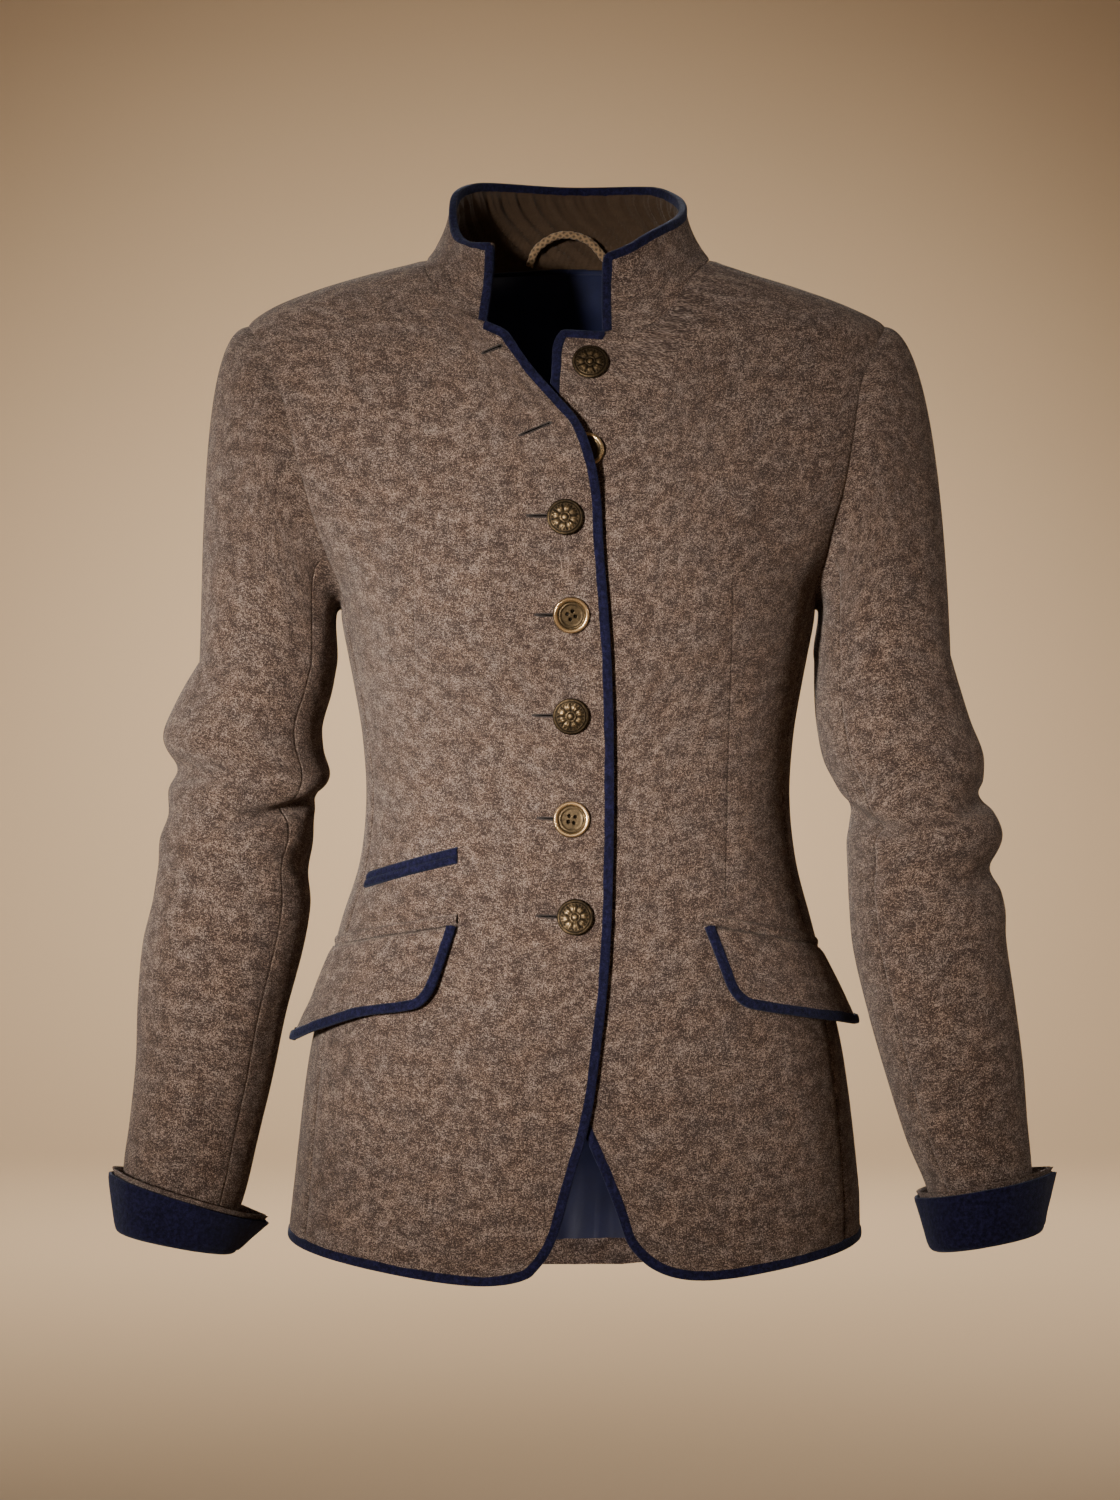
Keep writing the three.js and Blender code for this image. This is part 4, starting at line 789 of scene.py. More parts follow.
def cloth_uv(points):
    """Length across from the middle column and length up from the bottom row."""
    across = np.concatenate([
        np.zeros((len(points), 1)),
        np.cumsum(np.linalg.norm(np.diff(points, axis=1), axis=2), 1),
    ], 1)
    up = np.concatenate([
        np.zeros((1, points.shape[1])),
        np.cumsum(np.linalg.norm(np.diff(points, axis=0), axis=2), 0),
    ])
    middle = across.shape[1] // 2
    return across, up, np.stack([across - across[:, middle:middle + 1], up], -1)


def shell(name, points, normals, wall, finishes, sewn=(), sink=1.1, shift=(0, 0), dart=None,
          edge_round=0.5, turned_up=0):
    """A wall of cloth: the outer grid and the grid one wall further in, joined around the rim.
    Along sewn sides both dip by sink times a bell, so that two pieces meet in a groove.
    The outer layer's border drops by edge_round, as a cut or pressed edge does. The first finish
    is outside and the last inside, but the lowest turned_up millimetres are the first on both."""
    across, up, uv = cloth_uv(points)
    distance = np.full(points.shape[:2], FAR)
    far = {"left": across, "right": across[:, -1:] - across, "bottom": up, "top": up[-1:] - up}
    for side in sewn:
        distance = np.minimum(distance, far[side])
    border = np.min(list(far.values()), axis=0)
    dip = sink * np.exp(-((distance / SEWN["wide"]) ** 2))
    cut = np.where(distance < SEWN["edge"], SEWN["drop"], edge_round) * (border < SEWN["edge"])
    outer = points + normals * (-dip - cut)[..., None]
    inner = points + normals * (-dip - wall)[..., None]
    rows, columns = points.shape[:2]
    lines = np.stack([distance, np.full(distance.shape, FAR) if dart is None else dart, up], -1)
    cells = (rows - 1) * (columns - 1)
    faces = wall_faces(rows, columns)
    inside = np.where(up[1:, 1:].ravel() < turned_up, 0, len(finishes) - 1)
    index = np.concatenate([np.zeros(cells), inside, np.zeros(len(faces) - 2 * cells)])
    uv = uv + np.array(shift, float)
    return collect(
        name, np.concatenate([outer.reshape(-1, 3), inner.reshape(-1, 3)]), faces,
        np.tile(uv.reshape(-1, 2), (2, 1)), np.tile(lines.reshape(-1, 3), (2, 1)), finishes, index,
    )


def ringed(rings, start=0):
    """Faces between closed rings of points, and a fan at both ends around two last points."""
    count, sides = rings.shape[:2]
    j, k = np.meshgrid(np.arange(count - 1), np.arange(sides), indexing="ij")
    a = (start + j * sides + k).ravel()
    b = (start + j * sides + (k + 1) % sides).ravel()
    faces = np.stack([a, b, b + sides, a + sides], 1).tolist()
    first, last = start + count * sides, start + count * sides + 1
    k = np.arange(sides)
    after = (k + 1) % sides
    low = np.stack([np.full(sides, first), start + after, start + k], 1).tolist()
    high_row = start + (count - 1) * sides
    high = np.stack([np.full(sides, last), high_row + k, high_row + after], 1).tolist()
    return faces + low + high


def rings_about(path, side, up, radius, angle):
    """Rings around each place of a path, at the radius from it in the plane of side and up."""
    return (
        path[:, None]
        + side[:, None] * (radius * np.cos(angle)[None])[..., None]
        + up[:, None] * (radius * np.sin(angle)[None])[..., None]
    )


def capped(rings, caps, along, around, end_u=0.0):
    """A tube's points and uv: those of its rings, then those of its two ends."""
    uv = np.stack(np.broadcast_arrays(along[:, None], around[None]), -1)
    points = np.concatenate([rings.reshape(-1, 3), caps])
    return points, np.concatenate([uv.reshape(-1, 2), [[0, 0], [end_u, 0]]])


def band(name, points, normals, wall, width, seed):
    """Felt folded over an edge: a rounded flat section carried along the edge. The section turns
    slowly at corners, and its width and swell vary by a few percent as hand-laid binding does."""
    length = reached(points)
    count = int(length[-1] / BAND_STEP)
    even = np.linspace(0, length[-1], count)
    points = np.stack([np.interp(even, length, points[:, c]) for c in range(3)], 1)
    normals = unit(np.stack([np.interp(even, length, normals[:, c]) for c in range(3)], 1))
    points = soften(points, 1.2)
    along = unit(np.gradient(points, axis=0))
    inward = unit(soften(np.cross(normals, along), 3.2))
    angle = np.linspace(0, 2 * np.pi, 19)[:-1]
    flat_a = np.sign(np.cos(angle)) * np.abs(np.cos(angle)) ** 0.62
    flat_b = np.sign(np.sin(angle)) * np.abs(np.sin(angle)) ** 0.55
    swell = wall / 2 + 0.75 + 0.10 * waves(even, seed, 34)
    half = width / 2 * (1 + 0.05 * waves(even, seed + 1, 55))
    ends = np.minimum(even, even[-1] - even) + 0.3
    half = half * np.clip(ends / 1.2, 0.55, 1)
    into = half[:, None] * (1 - flat_a[None]) - 0.4
    out = swell[:, None] * flat_b[None] - wall / 2
    rings = (
        points[:, None]
        + inward[:, None] * into[..., None]
        + normals[:, None] * out[..., None]
    )
    rings = rings[:, ::-1]
    caps = np.stack([rings[0].mean(0), rings[-1].mean(0)])
    everything = np.concatenate([rings.reshape(-1, 3), caps])
    around = (into[:, ::-1] * np.where(out[:, ::-1] > -wall / 2, 1, -1))[..., None]
    uv = np.concatenate([np.broadcast_to(even[:, None, None], around.shape), around], -1)
    uv = np.concatenate([uv.reshape(-1, 2), [[0, 0], [even[-1], 0]]])
    edge = (2 * half[:, None] - into[:, ::-1])[..., None]
    lines = np.concatenate([edge, np.full(edge.shape, FAR), uv[:-2, :1].reshape(edge.shape)], -1)
    lines = np.concatenate([lines.reshape(-1, 3), np.full((2, 3), FAR)])
    return collect(name, everything, ringed(rings), uv, lines, ["felt"])


# Materials

def linear(hexes):
    """Linear colour of a six-digit colour."""
    parts = np.array([int(hexes[k:k + 2], 16) for k in (0, 2, 4)]) / 255
    return tuple(np.where(parts < 0.04045, parts / 12.92, ((parts + 0.055) / 1.055) ** 2.4))


class Nodes:
    """Short calls for a material's nodes."""

    def __init__(self, name):
        self.material = bpy.data.materials.get(name) or bpy.data.materials.new(name)
        self.material.use_nodes = True
        self.tree = self.material.node_tree
        self.tree.nodes.clear()
        self.shader = self.tree.nodes.new("ShaderNodeBsdfPrincipled")
        output = self.tree.nodes.new("ShaderNodeOutputMaterial")
        self.tree.links.new(self.shader.outputs[0], output.inputs[0])

    def set(self, **values):
        for key, value in values.items():
            self.shader.inputs[key.replace("_", " ")].default_value = value

    def node(self, kind, values=None, **inputs):
        made = self.tree.nodes.new(kind)
        for key, value in (values or {}).items():
            setattr(made, key, value)
        for key, value in inputs.items():
            socket = made.inputs[int(key[1:])] if key[1:].isdigit() else made.inputs[key]
            if isinstance(value, bpy.types.NodeSocket):
                self.tree.links.new(value, socket)
            else:
                socket.default_value = value
        return made

    def cloth(self, stretch=(1, 1, 1)):
        """The piece's own uv in metres, stretched."""
        uv = self.node("ShaderNodeUVMap", {"uv_map": "cloth"})
        return self.node("ShaderNodeMapping", {}, Vector=uv.outputs[0], Scale=stretch).outputs[0]

    def own(self, stretch=(1, 1, 1)):
        """Object coordinates, stretched."""
        place = self.node("ShaderNodeTexCoord")
        return self.node(
            "ShaderNodeMapping", {}, Vector=place.outputs["Object"], Scale=stretch
        ).outputs[0]

    def noise(self, vector, scale, detail=3, rough=0.5, distort=0.0):
        return self.node(
            "ShaderNodeTexNoise", {}, Vector=vector, Scale=scale, Detail=detail,
            Roughness=rough, Distortion=distort,
        ).outputs[0]

    def math(self, kind, a, b=0.0, clamp=False):
        return self.node(
            "ShaderNodeMath", {"operation": kind, "use_clamp": clamp}, _0=a, _1=b
        ).outputs[0]

    def ramp(self, factor, stops):
        made = self.node("ShaderNodeValToRGB", {}, _0=factor)
        ramp = made.color_ramp
        while len(ramp.elements) < len(stops):
            ramp.elements.new(0.5)
        for element, (place, colour) in zip(ramp.elements, stops):
            element.position = place
            element.color = (*colour, 1)
        return made.outputs[0]

    def shade(self, factor, a, b, kind="MIX"):
        made = self.node("ShaderNodeMix", {"data_type": "RGBA", "blend_type": kind})
        for index, value in ((0, factor), (6, a), (7, b)):
            if isinstance(value, bpy.types.NodeSocket):
                self.tree.links.new(value, made.inputs[index])
            else:
                socket = made.inputs[index]
                socket.default_value = (*value, 1) if isinstance(value, tuple) else value
        return made.outputs[2]

    def total(self, *parts):
        """Sum of the parts, each times its share."""
        scaled = [self.math("MULTIPLY", part, share) for part, share in parts]
        mixed = scaled[0]
        for part in scaled[1:]:
            mixed = self.math("ADD", mixed, part)
        return mixed

    def wave(self, vector, direction, scale, distort):
        return self.node(
            "ShaderNodeTexWave", {"bands_direction": direction}, Vector=vector, Scale=scale,
            Distortion=distort,
        ).outputs[1]

    def lines(self):
        """The three numbers that each point carries about its nearest lines."""
        line = self.node("ShaderNodeAttribute", {"attribute_name": "lines"})
        return self.node("ShaderNodeSeparateXYZ", {}, _0=line.outputs["Vector"]).outputs

    def near(self, distance, reach):
        """1 on a line, falling to 0 at the reach."""
        return self.math("SUBTRACT", 1, self.math("DIVIDE", distance, reach), True)

    def bump(self, height, strength, distance):
        return self.node(
            "ShaderNodeBump", {}, Height=height, Strength=strength, Distance=distance
        ).outputs[0]

    def use(self, colour=None, roughness=None, normal=None):
        for key, value in (("Base Color", colour), ("Roughness", roughness), ("Normal", normal)):
            if value is not None:
                self.tree.links.new(value, self.shader.inputs[key])
        return self.material


def tone(colour, by):
    """The colour made lighter or darker."""
    return tuple(float(min(1, c * by)) for c in colour)


def wool_cloth(settings):
    """Boiled wool: soft blotches of about a centimetre, stretched a little across the cloth,
    then smaller flecks of dark and pale fibre, short hairs all over, a dent on sewn lines, and
    painted shade along sewn lines and darts."""
    n = Nodes("boiled wool")
    dark, mid, light = (tuple(getattr(settings, "wool_" + k)) for k in ("dark", "mid", "light"))
    place = n.cloth((0.86, 1, 1))
    broad = n.noise(place, 24, 2, 0.5)
    blotch = n.noise(place, 130, 4, 0.75)
    fleck = n.noise(place, 560, 2, 0.6)
    hair = n.noise(n.cloth(), 1250, 1, 0.6)
    colour = n.ramp(
        n.total((blotch, 0.42), (fleck, 0.32), (hair, 0.61), (broad, 0.06)),
        [(0.625, dark), (0.707, mid), (0.770, tone(light, 0.55)), (0.835, tone(light, 0.95))],
    )
    bloom = n.noise(place, 60, 3, 0.6)
    warm = n.ramp(bloom, [(0.35, (1.04, 0.99, 0.95)), (0.65, (0.97, 1.0, 1.04))])
    colour = n.shade(1.0, colour, warm, "MULTIPLY")
    from_edge, from_dart, _ = n.lines()
    # Painted shade: this mask darkens the colour along sewn seams and darts, where shade falls in
    # their grooves; the same mask also dents the bump.
    dart = n.math("MULTIPLY", n.near(n.math("ABSOLUTE", from_dart), 1.0), 0.9)
    sewn = n.math("MAXIMUM", n.near(from_edge, 1.3), dart)
    colour = n.shade(n.math("MULTIPLY", sewn, 0.14), colour, tone(dark, 0.5))
    nap = n.noise(n.cloth(), 1000, 4, 0.8)
    height = n.math("ADD", nap, n.math("MULTIPLY", fleck, 1.1))
    height = n.math("SUBTRACT", height, sewn)
    n.set(Roughness=1.0, Sheen_Weight=0.16, Sheen_Roughness=0.5, Specular_IOR_Level=0.08,
          Sheen_Tint=(0.80, 0.70, 0.64, 1))
    return n.use(colour, None, n.bump(height, 0.75, 0.0012))


def felt_cloth(settings):
    """Navy felt: close matted fibres with a few paler ones, a dent along its sewn edge, and
    painted shade along that edge.
    """
    n = Nodes("navy felt")
    base = tuple(settings.felt)
    place = n.own()
    fibre = n.noise(place, 1300, 5, 0.75, 1.0)
    patch = n.noise(place, 420, 3, 0.6)
    mixed = n.total((fibre, 0.5), (patch, 0.5))
    colour = n.ramp(mixed, [(0.40, tone(base, 0.4)), (0.50, base), (0.64, tone(base, 2.4))])
    # Painted shade: the colour is darkened along the sewn edge, where shade falls in the groove
    # beside a binding or between welts; the mask also dents the bump.
    sewn = n.near(n.lines()[0], 0.9)
    colour = n.shade(n.math("MULTIPLY", sewn, 0.6), colour, tone(base, 0.3))
    height = n.math("SUBTRACT", n.math("ADD", fibre, patch), n.math("MULTIPLY", sewn, 0.8))
    n.set(Roughness=0.95, Sheen_Weight=0.14, Sheen_Roughness=0.5, Specular_IOR_Level=0.12,
          Sheen_Tint=(0.35, 0.42, 0.62, 1))
    return n.use(colour, None, n.bump(height, 0.5, 0.0007))


def satin_cloth(settings):
    """Lining satin: fine threads across, soft gloss."""
    n = Nodes("navy satin")
    base = tuple(settings.satin)
    threads = n.noise(n.cloth((0.12, 1, 1)), 3200, 2, 0.6)
    broad = n.noise(n.cloth(), 60, 3, 0.5)
    colour = n.ramp(
        n.total((threads, 0.5), (broad, 0.5)),
        [(0.35, tone(base, 0.7)), (0.65, tone(base, 1.25))],
    )
    n.set(Roughness=0.42, Sheen_Weight=0.1, Specular_IOR_Level=0.45, Anisotropic=0.4)
    return n.use(colour, None, n.bump(n.math("ADD", threads, broad), 0.14, 0.0006))


def cotton_cloth(settings):
    """Brown cotton: a plain weave of two crossing sets of threads."""
    n = Nodes("brown cotton")
    base = tuple(settings.cotton)
    weave = n.math("MAXIMUM", *(n.wave(n.cloth(), axis, 330.0, 1.2) for axis in "XY"))
    slub = n.noise(n.cloth((0.3, 1, 1)), 240, 4, 0.6)
    colour = n.ramp(
        n.total((weave, 0.45), (slub, 0.55)),
        [(0.25, tone(base, 0.55)), (0.55, base), (0.8, tone(base, 1.35))],
    )
    n.set(Roughness=0.85, Sheen_Weight=0.12, Specular_IOR_Level=0.25)
    return n.use(colour, None, n.bump(n.math("ADD", weave, slub), 0.3, 0.0005))


def brass_metal(settings):
    """Antique brass: bright on raised parts, brown-black in the hollows, light scratches."""
    n = Nodes("antique brass")
    base = tuple(settings.brass)
    place = n.own()
    wear = n.noise(place, 700, 5, 0.7)
    patina = n.noise(place, 220, 3, 0.55)
    uneven = [n.math("SUBTRACT", part, 0.5) for part in (wear, patina)]
    polish = n.total((n.lines()[0], 1.0), (uneven[0], 0.7), (uneven[1], 0.5))
    colour = n.ramp(
        polish, [(0.16, tone(base, 0.06)), (0.5, tone(base, 0.36)), (0.9, tone(base, 2.1))]
    )
    rough = n.ramp(polish, [(0.1, (0.62,) * 3), (0.9, (0.26,) * 3)])
    n.set(Metallic=0.9)
    return n.use(colour, rough, n.bump(wear, 0.12, 0.0002))


def cord_cloth(settings):
    """Tan braid: crossing strands drawn on the tube's own uv."""
    n = Nodes("tan braid")
    base = tuple(settings.cord)
    places = n.cloth(), n.cloth((1, -1, 1))
    strand = n.math("MAXIMUM", *(n.wave(place, "DIAGONAL", 150.0, 0.4) for place in places))
    fibre = n.noise(n.own(), 1800, 4, 0.7)
    colour = n.ramp(
        n.total((strand, 0.65), (fibre, 0.35)),
        [(0.3, tone(base, 0.4)), (0.6, base), (0.85, tone(base, 1.4))],
    )
    n.set(Roughness=0.8, Sheen_Weight=0.2, Specular_IOR_Level=0.3)
    return n.use(colour, None, n.bump(n.total((strand, 1.0), (fibre, 0.4)), 0.6, 0.0008))


def thread_cloth(settings):
    """Buttonhole twist: close turns of dark thread."""
    n = Nodes("buttonhole twist")
    base = tone(tuple(settings.wool_dark), 0.9)
    turns = n.wave(n.cloth(), "X", 420.0, 0.6)
    colour = n.ramp(turns, [(0.2, tone(base, 0.35)), (0.8, tone(base, 1.3))])
    n.set(Roughness=0.7, Sheen_Weight=0.2, Specular_IOR_Level=0.3)
    return n.use(colour, None, n.bump(turns, 0.7, 0.0004))


def gap_painted_shade(settings):
    """Painted shade in a buttonhole's slit: an almost black brown sheet with some fibre."""
    n = Nodes("buttonhole gap")
    # painted shade: a near-black brown that stands for the shade inside the slit
    base = tone(tuple(settings.wool_dark), 0.12)
    fibre = n.noise(n.own(), 1500, 3, 0.6)
    n.set(Roughness=1.0, Specular_IOR_Level=0.05)
    return n.use(n.ramp(fibre, [(0.3, tone(base, 0.4)), (0.7, base)]))


def backdrop_paint(settings):
    """Pale matt paint with a faint unevenness."""
    n = Nodes("pale floor")
    base = tuple(settings.floor)
    uneven = n.noise(n.own(), 0.7, 2, 0.5)
    n.set(Roughness=0.95, Specular_IOR_Level=0.1)
    return n.use(n.ramp(uneven, [(0.3, tone(base, 0.96)), (0.7, tone(base, 1.03))]))


MATERIALS = {
    "wool": wool_cloth, "felt": felt_cloth, "satin": satin_cloth, "cotton": cotton_cloth,
    "brass": brass_metal, "cord": cord_cloth, "thread": thread_cloth, "gap": gap_painted_shade,
}


def finish_of(key):
    """The finish by that name, made once."""
    scene = bpy.context.scene
    made = scene.get("blazer_" + key)
    if made and made in bpy.data.materials:
        return bpy.data.materials[made]
    material = MATERIALS[key](scene.blazer)
    scene["blazer_" + key] = material.name
    return material


def colour_setting(name, about, hexes):
    return bpy.props.FloatVectorProperty(
        name=name, description=about, subtype="COLOR", size=3, min=0, max=1, default=linear(hexes)
    )


class BlazerSettings(bpy.types.PropertyGroup):
    """Sizes and colours of the blazer."""

    wool_dark: colour_setting("Wool, dark", "Darkest blotches of the wool", "362b26")
    wool_mid: colour_setting("Wool, middle", "Middle brown of the wool", "574840")
    wool_light: colour_setting("Wool, light", "Palest fibres of the wool", "9b887b")
    felt: colour_setting("Felt", "Navy felt of the bindings and cuffs", "131229")
    satin: colour_setting("Lining", "Navy satin of the lining", "161a38")
    cotton: colour_setting("Collar facing", "Brown cotton inside the collar", "3a2b1d")
    brass: colour_setting("Buttons", "Antique brass of the buttons", "8b7454")
    cord: colour_setting("Hanger loop", "Tan braid of the hanger loop", "7d664b")
    floor: colour_setting("Floor", "Pale paint of the floor", "cdb497")
    band: bpy.props.FloatProperty(
        name="Binding width", description="Width of the felt binding on each face",
        default=0.006, min=0.003, max=0.012, unit="LENGTH")
    folds: bpy.props.FloatProperty(
        name="Sleeve folds", description="Depth of the sleeves' folds, 1 is as worn", default=1.0,
        min=0, max=1.5, subtype="FACTOR")
    groove: bpy.props.FloatProperty(
        name="Seam groove", description="Depth of the groove along a sewn seam", default=0.0009,
        min=0, max=0.003, unit="LENGTH")


GRIDS = {}


def panel_grid(name):
    """The torso panels' grids, worked out once."""
    if name not in GRIDS:
        kind, hand = name.split("_")
        side = HANDS[hand]["side"]
        if kind == "front":
            table = EDGE_LEFT if side > 0 else EDGE_RIGHT
            chart = front_chart(side, table, COLLAR_START[hand])
            GRIDS[name] = on_torso(chart, None if side > 0 else front_lift)
        else:
            chart = side_chart(side) if kind == "side" else back_chart(side)
            GRIDS[name] = on_torso(chart)
    return GRIDS[name]


def groove():
    """Depth of a seam's groove in millimetres."""
    return bpy.context.scene.blazer.groove / MM


class BLAZER_OT_fronts(bpy.types.Operator):
    """Adds the two wool fronts, the right one over the left one"""
    bl_idname = "blazer.fronts"
    bl_label = "Fronts"

    def execute(self, context):
        for hand, outer, shift in (("right", "left", (40, 300)), ("left", "right", (700, 120))):
            points, normals = panel_grid(f"front_{hand}")
            x0, z0, x1, z1 = DARTS[hand]
            x, z = points[..., 0], points[..., 2]
            t = (z0 - z) / (z0 - z1)
            beyond = np.maximum(np.maximum(-t, t - 1), 0) * abs(z0 - z1)
            dart = x - mix(x0, x1, t) + np.sign(x - mix(x0, x1, t)) * beyond * 0.5
            dent = 0.9 * np.exp(-((dart / 3.2) ** 2)) * (beyond < 1)
            points = points - normals * dent[..., None]
            piece = shell(f"front_{hand}", points, normals, WOOL, ("wool", "satin"), (outer,),
                          groove(), shift, dart, edge_round=1.0)
        return {"FINISHED"}


class BLAZER_OT_sides(bpy.types.Operator):
    """Adds the panels under the arms"""
    bl_idname = "blazer.sides"
    bl_label = "Side panels"

    def execute(self, context):
        for hand, shift in (("right", (1500, 60)), ("left", (1900, 210))):
            piece = shell(f"side_{hand}", *panel_grid(f"side_{hand}"), WOOL, ("wool", "satin"),
                          ("left", "right", "top"), groove(), shift)
        return {"FINISHED"}


class BLAZER_OT_backs(bpy.types.Operator):
    """Adds the two halves of the back"""
    bl_idname = "blazer.backs"
    bl_label = "Backs"

    def execute(self, context):
        for hand, shift in (("right", (2500, 90)), ("left", (3100, 240))):
            piece = shell(f"back_{hand}", *panel_grid(f"back_{hand}"), WOOL, ("wool", "satin"),
                          ("left", "right"), groove(), shift, turned_up=HEM["turned_up"])
        return {"FINISHED"}


class BLAZER_OT_lining(bpy.types.Operator):
    """Adds the satin lining of the back, which hangs loose with soft upright folds"""
    bl_idname = "blazer.lining"
    bl_label = "Lining"

    def execute(self, context):
        points, normals = (
            np.concatenate([left, right[:, 1:]], 1)[:, ::2]
            for left, right in zip(panel_grid("back_left"), panel_grid("back_right"))
        )
        across, up, _ = cloth_uv(points)
        low = np.clip(1 - up / LINING["fade"], 0, 1)
        around = across - across[:, -1:] / 2
        loose = LINING["loose"] + LINING["wave"] * low * (1 + waves(around + up * 0.12, 5, 74, 4))
        slant = 1 + waves(around * 0.6 - up * 0.5, 9, 90, 4)
        loose = loose + LINING["slant"] * slant * np.clip(up / 60, 0, 1)
        for middle, wide, deep in PLEATS:
            loose = loose + deep * low * np.exp(-(((around - middle + up * 0.04) / wide) ** 2))
        edge = np.minimum(across, across[:, -1:] - across) / LINING["side"]
        top = (up[-1:] - up) / LINING["top"]
        loose = loose * np.clip(np.minimum(edge, top), 0.1, 1)
        points = points - normals * (WOOL + SEAM + loose)[..., None]
        rise = int(np.searchsorted(up[:, up.shape[1] // 2], LINING["rise"]))
        piece = shell("lining_back", points[rise:-1, 1:-1], normals[rise:-1, 1:-1], SATIN,
                      ("satin",), edge_round=0.2)
        return {"FINISHED"}


class BLAZER_OT_sleeves(bpy.types.Operator):
    """Adds the top and under sleeves of both arms, their seam allowance turned in under the
    panels at the armhole"""
    bl_idname = "blazer.sleeves"
    bl_label = "Sleeves"

    def execute(self, context):
        for hand, shift in (("right", 4000), ("left", 5200)):
            side, table = HANDS[hand]["side"], HANDS[hand]["table"]
            stops = armhole_stops(side)
            low = 1 + (table[:, 0] - table[-1, 0]) / (table[0, 0] - table[-1, 0])
            marks = np.concatenate([low, HEAD_ROWS])
            down = np.interp(
                np.arange((len(marks) - 1) * FINE + 1) / FINE, np.arange(len(marks)), marks
            )
            front, back = SLEEVE_SEAMS["front"] * FINE, SLEEVE_SEAMS["back"] * FINE
            parts = {
                "top": np.concatenate([stops[back - 1:-1] - 360, stops[:front + 1]]),
                "under": stops[front:back],
            }
            middle = armhole(side, np.arange(0.0, 360, 10)).mean(0)
            for k, (part, degrees) in enumerate(parts.items()):
                if side > 0:
                    degrees = degrees[::-1]
                grid_degrees, grid_down = np.meshgrid(degrees, down)
                points, normals = sleeve_grid(
                    hand, grid_degrees, grid_down, context.scene.blazer.folds
                )
                place = middle + (armhole(side, degrees) - middle) * TURNED_IN["wide"]
                under = torso_normal(place[:, 0], place[:, 1])
                hidden = plain_torso(place[:, 0], place[:, 1]) - under * TURNED_IN["deep"]
                piece = shell(
                    f"sleeve_{part}_{hand}", np.concatenate([points, hidden[None]]),
                    np.concatenate([normals, under[None]]), WOOL, ("wool", "satin"),
                    ("left", "right", "top"), groove() * 0.22, (shift + 500 * k, 80 * k),
                )
        return {"FINISHED"}


def cuff_wall(hand, path_out, path_z, shares):
    """Points and normals of a layer around the sleeve's end. Each row has a way out from the
    sleeve, a height, and the share of the flare that it gets."""
    data = HANDS[hand]
    side, cuff, table = data["side"], data["cuff"], data["table"]
    u = np.linspace(0, 1, CUFF_COLUMNS + 1)
    around = mix(CUFF["half_split"], 360 - CUFF["half_split"], 1 - u if side > 0 else u)
    degrees = cuff["split"] + around
    high = mix(cuff["inner"], cuff["outer"], (1 + np.cos(np.radians(degrees))) / 2)
    z = mix(CUFF["low"], high[None], shares[:, None]) + path_z[:, None]
    down = 1 + (z - table[-1, 0]) / (table[0, 0] - table[-1, 0])
    grid = degrees[None] * np.ones(z.shape)
    points = sleeve_plain(data, np.radians(grid), np.minimum(down, 2))
    normals = sleeve_normal(data, np.radians(grid), np.minimum(down, 1.99))
    points[..., 2] -= np.maximum(down - 2, 0) * (table[-1, 0] - table[0, 0])
    end = np.abs(2 * u - 1) ** CUFF["curl"]
    uneven = 0.5 * waves(grid * 0.8 + z * 0.2, 31 + side, 50)
    flare = np.clip(shares, 0, 1)[:, None] * (CUFF["flare"] + end[None] * cuff["tip"] + uneven)
    return points + normals * (path_out[:, None] + flare)[..., None], normals


class BLAZER_OT_cuffs(bpy.types.Operator):
    """Adds the turned-back felt cuffs and the wool that shows above each"""
    bl_idname = "blazer.cuffs"
    bl_label = "Cuffs"

    def execute(self, context):
        bend, out_by, rows = CUFF["bend"], CUFF["felt_out"], CUFF_ROWS
        turn = np.linspace(np.pi, 2 * np.pi, 11)
        for hand, shift in (("right", 6200), ("left", 6600)):
            shares = np.concatenate([np.linspace(0.15, 1, rows), [1.0, 1.0]])
            rise = np.concatenate([np.zeros(rows), CUFF["lip_rise"]])
            out = np.concatenate([np.full(rows, CUFF["wool_out"]), CUFF["lip_out"]])
            points, normals = cuff_wall(hand, out, rise, shares)
            piece = shell(f"turnup_{hand}", points, normals, TURNUP, ("wool",), shift=(shift, 0),
                          edge_round=0.3)
            out = np.concatenate([
                np.full(4, out_by - bend), out_by + bend * np.cos(turn),
                np.full(rows, out_by + bend),
            ])
            rise = np.concatenate([
                np.linspace(CUFF["inside"], bend + 1, 4), bend + bend * np.sin(turn),
                np.zeros(rows),
            ])
            shares = np.concatenate([np.zeros(4 + len(turn)), np.linspace(0.16, 1, rows)])
            points, _ = cuff_wall(hand, out, rise, shares)
            step_v, step_u = np.gradient(points, axis=(0, 1))
            normals = unit(np.cross(step_u, step_v))
            points = points + normals * FELT / 2
            piece = shell(f"cuff_{hand}", points, normals, FELT, ("felt",), shift=(shift, 200),
                          edge_round=0.4)
        return {"FINISHED"}


